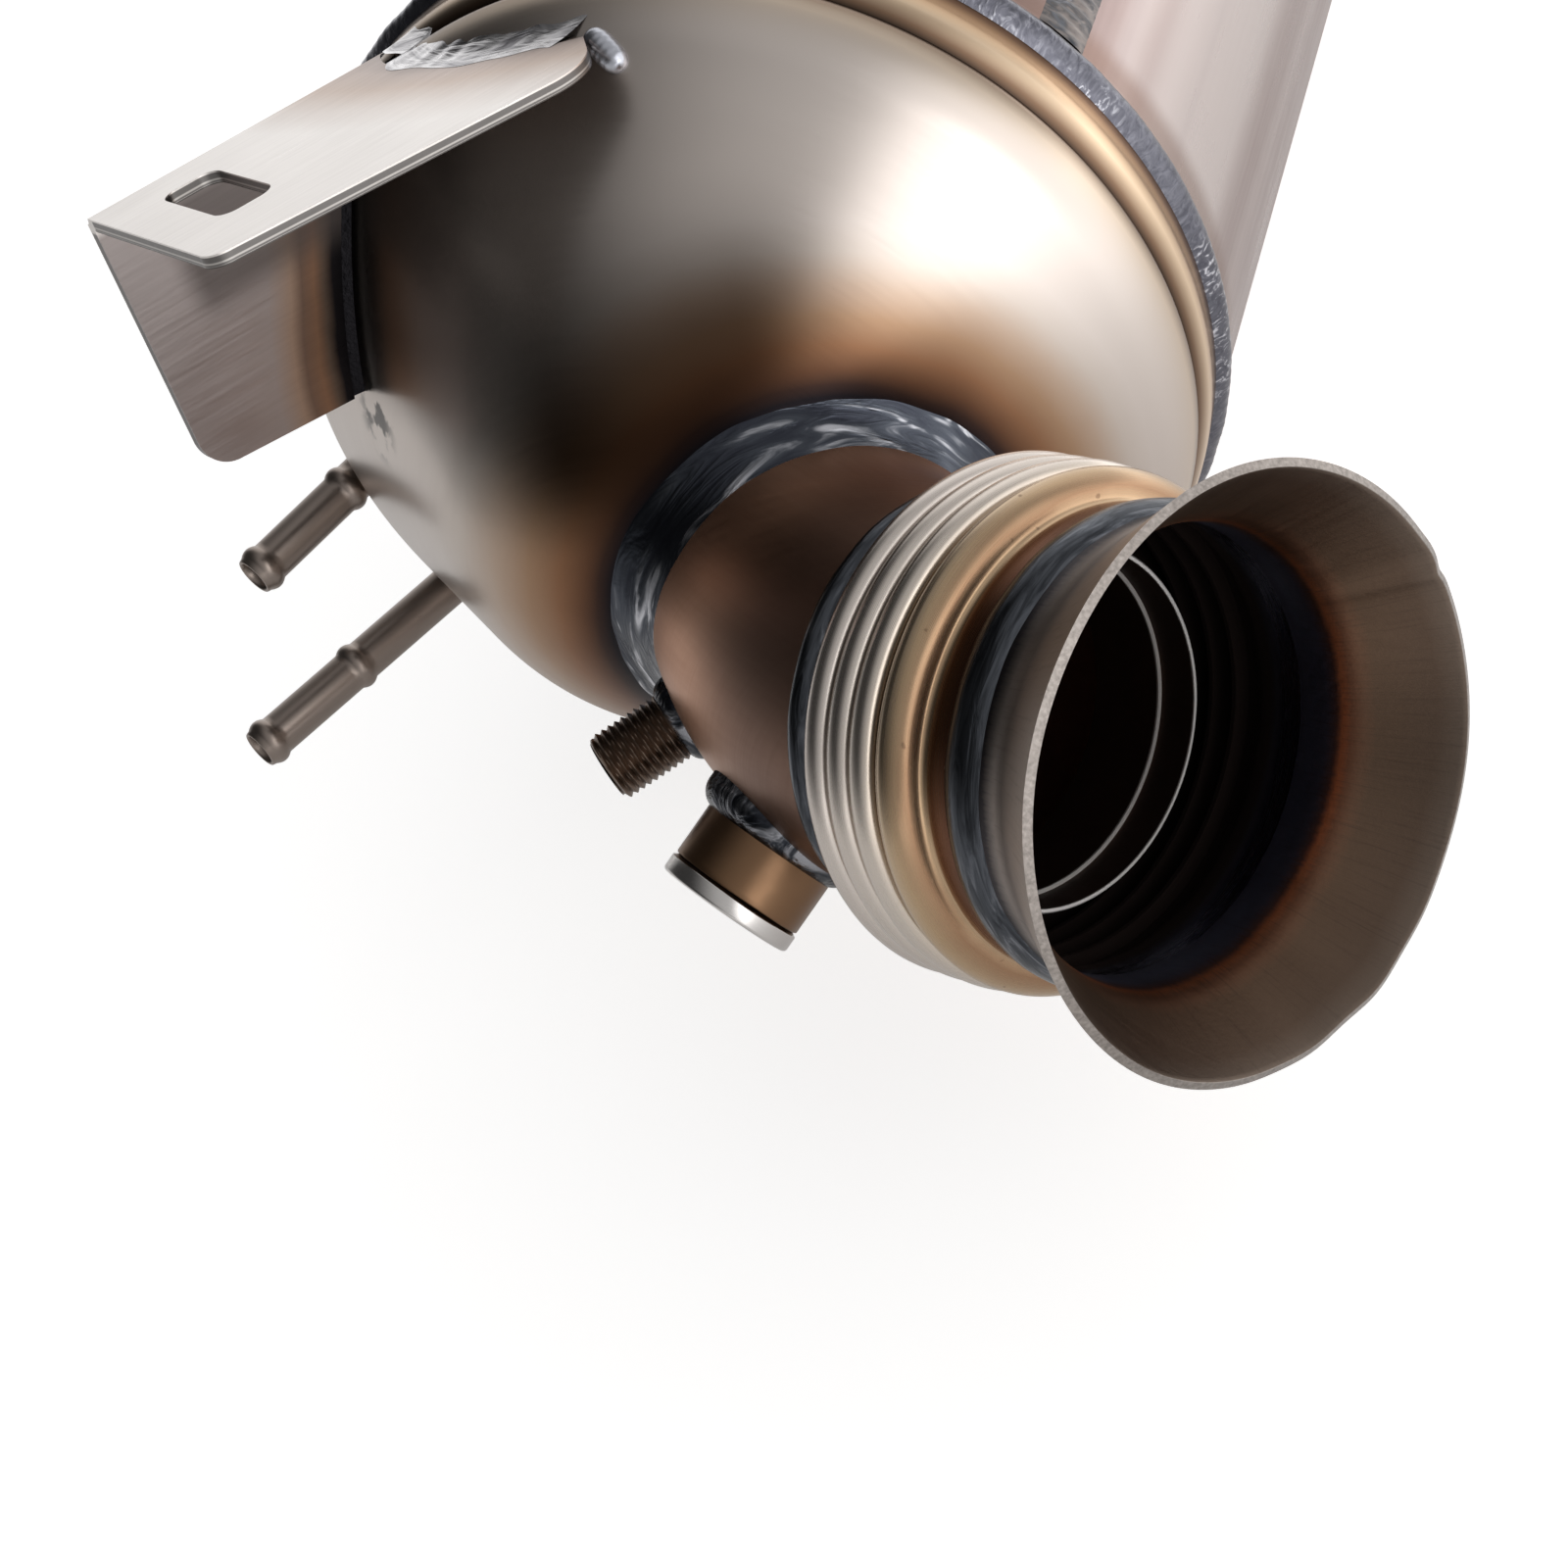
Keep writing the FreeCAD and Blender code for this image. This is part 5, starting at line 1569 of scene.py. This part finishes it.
@dataclass
class Bracket(Assembly):
    """Folded bracket with its welds; its own axes run along, across and down."""

    corner: tuple[float, float, float] = (-62.377, -363.482, 90.241)
    along: tuple[float, float, float] = SHEET_ALONG
    across: tuple[float, float, float] = SHEET_ACROSS
    down: tuple[float, float, float] = SHEET_DOWN
    bead: tuple[float, float, float] = (75.8, 48.0, 3.4)
    bead_half: float = 4.6
    bead_radius: float = 2.4
    bead_lean: float = 40.5
    edge: float = 0.3

    def place(self, along: Any, across: Any, down: Any) -> np.ndarray:
        """Corner plus the three axes times their amounts.

        Args:
            along: distance from the corner along the sheet.
            across: distance over the top.
            down: distance down the side.

        Returns:
            The points.
        """
        shares = np.stack(np.broadcast_arrays(along, across, down), -1)
        return np.asarray(self.corner) + shares @ np.array([self.along, self.across, self.down])

    def build(self) -> None:
        """Dress the sheet and make its welds."""
        steel = BracketFinish("bracket_brushed_steel", rough=0.32, depth=0.000003).build()
        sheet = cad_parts["mounting_bracket"]
        mesh = sheet.data.copy()
        mesh.name = "bracket_sheet"
        work = bmesh.new()
        work.from_mesh(mesh)
        bmesh.ops.remove_doubles(work, verts=work.verts, dist=2e-6)
        flat = math.radians(1.0)
        bmesh.ops.dissolve_limit(work, angle_limit=flat, verts=work.verts, edges=work.edges)
        work.to_mesh(mesh)
        work.free()
        obj = bpy.data.objects.new("bracket_sheet", mesh)
        bpy.context.scene.collection.objects.link(obj)
        smooth_mesh(obj, 30.0)
        edge = obj.modifiers.new("edge", "BEVEL")
        edge.width = self.edge * MM
        edge.segments = 3
        edge.limit_method = "ANGLE"
        edge.angle_limit = math.radians(45.0)
        self.dress(obj, steel, "bracket_steel", "mounting_bracket")
        # Pale weld metal with near-white painted highlight streaks.
        metal = WeldFinish("bracket_weld_metal", tone(132, 130, 134), 0.24, bright=1.0,
                           pale=tone(214, 212, 213), painted_glint=tone(236, 236, 238),
                           stretch=(0.06, 0.1, 0.3), depth=0.00008).build()
        self.dress(self.top_weld(), metal, "bracket_weld_metal", "bracket_weld")
        dark = Finish("bracket_side_weld_metal", tone(24, 23, 25), 0.32, coat=Coat.WELD,
                      depth=0.0002).build()
        self.dress(self.side_weld(), dark, "bracket_weld_metal")
        slate = Finish("corner_bead_metal", tone(186, 188, 196), coat=Coat.WELD, depth=0.00003).build()
        self.dress(self.corner_bead(), slate, "bracket_weld_metal", "bracket_corner_weld")

    def strip(self, name: str, sheet_toe: np.ndarray, knee: np.ndarray, skin_toe: np.ndarray,
              seed: int) -> Any:
        """Weld strip: the quadratic blend of two toes and the corner between them.

        Args:
            name: name of the piece.
            sheet_toe: points on the sheet.
            knee: points in the corner.
            skin_toe: points on the dome.
            seed: seed of its swells.

        Returns:
            The piece.
        """
        share = np.linspace(0.0, 1.0, 17)[:, None, None]
        points = quadratic(skin_toe, knee, sheet_toe, share)
        count = sheet_toe.shape[0]
        turn = np.linspace(0.0, 2.0, count)
        way = unit((sheet_toe + skin_toe - 2 * knee).mean(0))
        swell = np.sin(np.pi * share) * 0.3 * waves(turn, seed, 6, 40, 0.6)[None, :, None]
        points = points + swell * way
        points = np.concatenate([points, knee[None] - way * 1.2])
        place = np.repeat(np.linspace(0.0, 10.0, len(points))[:, None], count, 1)
        run_along = np.repeat(np.linspace(0.0, 50.0, count)[None, :], len(points), 0)
        wrap = np.stack([run_along, place * 0.5, place], -1).reshape(-1, 3)
        faces = grid_faces(len(points), count, True, False)
        return make_object(name, points.reshape(-1, 3), faces, wrap, sharp=80.0)

    def junction(self, across: np.ndarray, down: np.ndarray, low: float) -> np.ndarray:
        """Length along the sheet at which it meets the dome's skin.

        Args:
            across: distances over the top.
            down: distances down the side.
            low: a length that is surely outside the dome.

        Returns:
            The lengths.
        """
        start = self.place(np.zeros_like(across), across, down)
        return -DOME.meet(start, -np.asarray(self.along), -84.0, -low)

    def top_weld(self) -> Any:
        """Broad polished weld where the top meets the skirt.

        Returns:
            The piece.
        """
        across = np.linspace(0.8, 43.0, 220)
        meet = self.junction(across, np.zeros_like(across), 40.0)
        grow = 1.0 + 0.25 * waves(np.linspace(0, 3, len(across)), 31, 3, 12, 0.6)
        knee = self.place(meet, across, -0.02)
        sheet_toe = self.place(meet - 5.2 * grow, across, -0.04)
        skin = self.place(meet + 3.4 * grow, across, 0.0)
        rise = DOME.meet(skin, -np.asarray(self.down), -2.0, 14.0)
        skin_toe = skin - np.minimum(rise - 0.1, 2.6)[:, None] * np.asarray(self.down)
        knee = knee * 0.8 + (sheet_toe + skin_toe) * 0.1
        return self.strip("bracket_top_weld", sheet_toe, knee, skin_toe, 33)

    def side_weld(self) -> Any:
        """Small dark weld where the side meets the dome.

        Returns:
            The piece.
        """
        down = np.linspace(2.0, 50.5, 160)
        zero = np.zeros_like(down)
        meet = self.junction(zero, down, 6.0)
        knee = self.place(meet, zero - 0.02, down)
        sheet_toe = self.place(meet - 2.6, zero - 0.04, down)
        skin = self.place(meet + 1.2, zero, down)
        rise = DOME.meet(skin, -np.asarray(self.across), -2.0, 12.0)
        skin_toe = skin - np.minimum(rise, 3.5)[:, None] * np.asarray(self.across)
        return self.strip("bracket_side_weld", skin_toe, knee, sheet_toe, 35)

    def corner_bead(self) -> Any:
        """Short round bead with cross ribs and round ends.

        The radius is the half width times the root of one less the place to the power 3.2.

        Returns:
            The piece.
        """
        lean = math.radians(self.bead_lean)
        way = unit(np.cos(lean) * np.asarray(self.across) + np.sin(lean) * np.asarray(self.down))
        axis = Axis(tuple(self.place(*self.bead)), tuple(way))
        half = self.bead_half
        along = np.linspace(-half, half, 120)
        radius = self.bead_radius * np.sqrt(np.maximum(0.0, 1.0 - np.abs(along / half) ** 3.2))
        radius = radius * (1.0 + 0.008 * np.sin(along * 5.0))
        return axis.turned("bracket_corner_bead", np.c_[radius, along], 48, closed=False)


@dataclass
class Studio:
    """Camera, floor, one soft lamp and the pale world."""

    lens: float = 78.75
    place: tuple[float, float, float] = (0.3023, -0.76918, 0.28335)
    right: tuple[float, float, float] = (0.84779, 0.26084, -0.46175)
    up: tuple[float, float, float] = (0.16132, 0.70259, 0.69307)
    ahead: tuple[float, float, float] = (-0.5052, 0.66207, -0.55357)

    def build(self) -> None:
        """Set up the view and the light."""
        data = bpy.data.cameras.new("view")
        data.lens = self.lens
        data.sensor_width = 36.0
        data.clip_start = 0.01
        data.clip_end = 50.0
        camera = bpy.data.objects.new("view", data)
        bpy.context.scene.collection.objects.link(camera)
        rows = [list(line) + [spot] for line, spot in zip(
            zip(self.right, self.up, [-value for value in self.ahead]), self.place)]
        camera.matrix_world = Matrix(rows + [[0.0, 0.0, 0.0, 1.0]])
        bpy.context.scene.camera = camera
        self.floor()
        self.world()
        self.lamp("key", (0.88, -0.9, 0.16), (0.03, -0.35, 0.0), size=0.8, power=1.5)
        bpy.context.scene.view_settings.view_transform = "Standard"

    @staticmethod
    def lamp(name: str, spot: Sequence[float], aim: Sequence[float], size: float, power: float) -> None:
        """Round soft lamp that looks at a point.

        Args:
            name: the lamp's name.
            spot: where it stands, in metres.
            aim: where it looks.
            size: its diameter.
            power: its watts.
        """
        data = bpy.data.lights.new(name, "AREA")
        data.shape = "DISK"
        data.size = size
        data.energy = power
        lamp = bpy.data.objects.new(name, data)
        bpy.context.scene.collection.objects.link(lamp)
        lamp.location = spot
        lamp.rotation_mode = "QUATERNION"
        lamp.rotation_quaternion = (Vector(aim) - Vector(spot)).to_track_quat("-Z", "Y")

    @staticmethod
    def floor() -> None:
        """Pale floor below the part; it looks white but keeps the shadow."""
        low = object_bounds()[0][2]
        edge = 12.0
        mesh = bpy.data.meshes.new("floor")
        corners = [(-edge, -edge, low), (edge, -edge, low), (edge, edge, low), (-edge, edge, low)]
        mesh.from_pydata(corners, [], [(0, 1, 2, 3)])
        obj = bpy.data.objects.new("floor", mesh)
        bpy.context.scene.collection.objects.link(obj)
        material = bpy.data.materials.new("floor_pale")
        material.use_nodes = True
        g = Graph(material.node_tree)
        path = g.node("ShaderNodeLightPath", {}, {})
        seen = Sock(g, path.outputs["Is Camera Ray"]).highest(path.outputs["Is Transmission Ray"])
        across, along, _ = g.split(g.place())
        bright = 0.32 + 1.1 * across.between(0.0, 0.45) + 0.5 * along.between(-0.15, 0.3)
        glossy = Sock(g, path.outputs["Is Glossy Ray"]) * bright
        plain = g.node("ShaderNodeBsdfDiffuse", {}, {0: (0.75, 0.74, 0.73, 1.0)})
        glow = g.node("ShaderNodeEmission", {}, {0: (1.0, 1.0, 1.0, 1.0), 1: seen * 0.72 + glossy})
        both = g.node("ShaderNodeAddShader", {}, {0: plain.outputs[0], 1: glow.outputs[0]})
        g.node("ShaderNodeOutputMaterial", {}, {0: both.outputs[0]})
        mesh.materials.append(material)
        obj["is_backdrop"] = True

    @staticmethod
    def world() -> None:
        """White to the camera; in reflections a bright side, a dark side and soft lights between."""
        world = bpy.data.worlds.new("studio")
        bpy.context.scene.world = world
        world.use_nodes = True
        g = Graph(world.node_tree)
        way = g.node("ShaderNodeTexCoord", {}, {}).outputs["Generated"]
        across, along, up = g.split(way)
        key = g.dot(way, unit((0.97, -0.15, -0.2)))
        level = 0.045 + 0.54 * across.between(-0.5, 0.45) + 1.15 * key.between(0.54, 0.84)
        level = level + 1.05 * along.between(0.45, 0.85) * (1 - across.between(-0.1, 0.4) * 0.45)
        level = level + 0.4 * (1 - up.between(-0.05, 0.42)) * (1 - across.between(-0.2, 0.3))
        path = g.node("ShaderNodeLightPath", {}, {})
        camera = Sock(g, path.outputs["Is Camera Ray"]).highest(path.outputs["Is Transmission Ray"])
        strength = camera + (1 - camera) * level
        back = g.node("ShaderNodeBackground", {}, {0: (1.0, 1.0, 1.0, 1.0), 1: strength})
        g.node("ShaderNodeOutputWorld", {}, {0: back.outputs[0]})


def main() -> None:
    """Build every sub-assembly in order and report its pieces."""
    logging.basicConfig(level=logging.INFO, format="%(name)s: %(message)s")
    steel = Finish("pipe_satin_steel", tone(150, 138, 130), 0.36, grain=(200.0, 200.0, 200.0)).build()
    upper = PressurePipe(steel=steel)
    lower = PressurePipe(name="lower", root=(-77.4, -320.26, -25.493),
                         aim=(-0.53826, -0.84165, 0.04362), length=52.1, steel=steel)
    for assembly in (Canister(), OutletDome(), OutletNeck(), OutletBellows(), upper, lower, Bracket()):
        assembly.build()
        assembly.report()
    Studio().build()


if __name__ == "__main__":
    main()
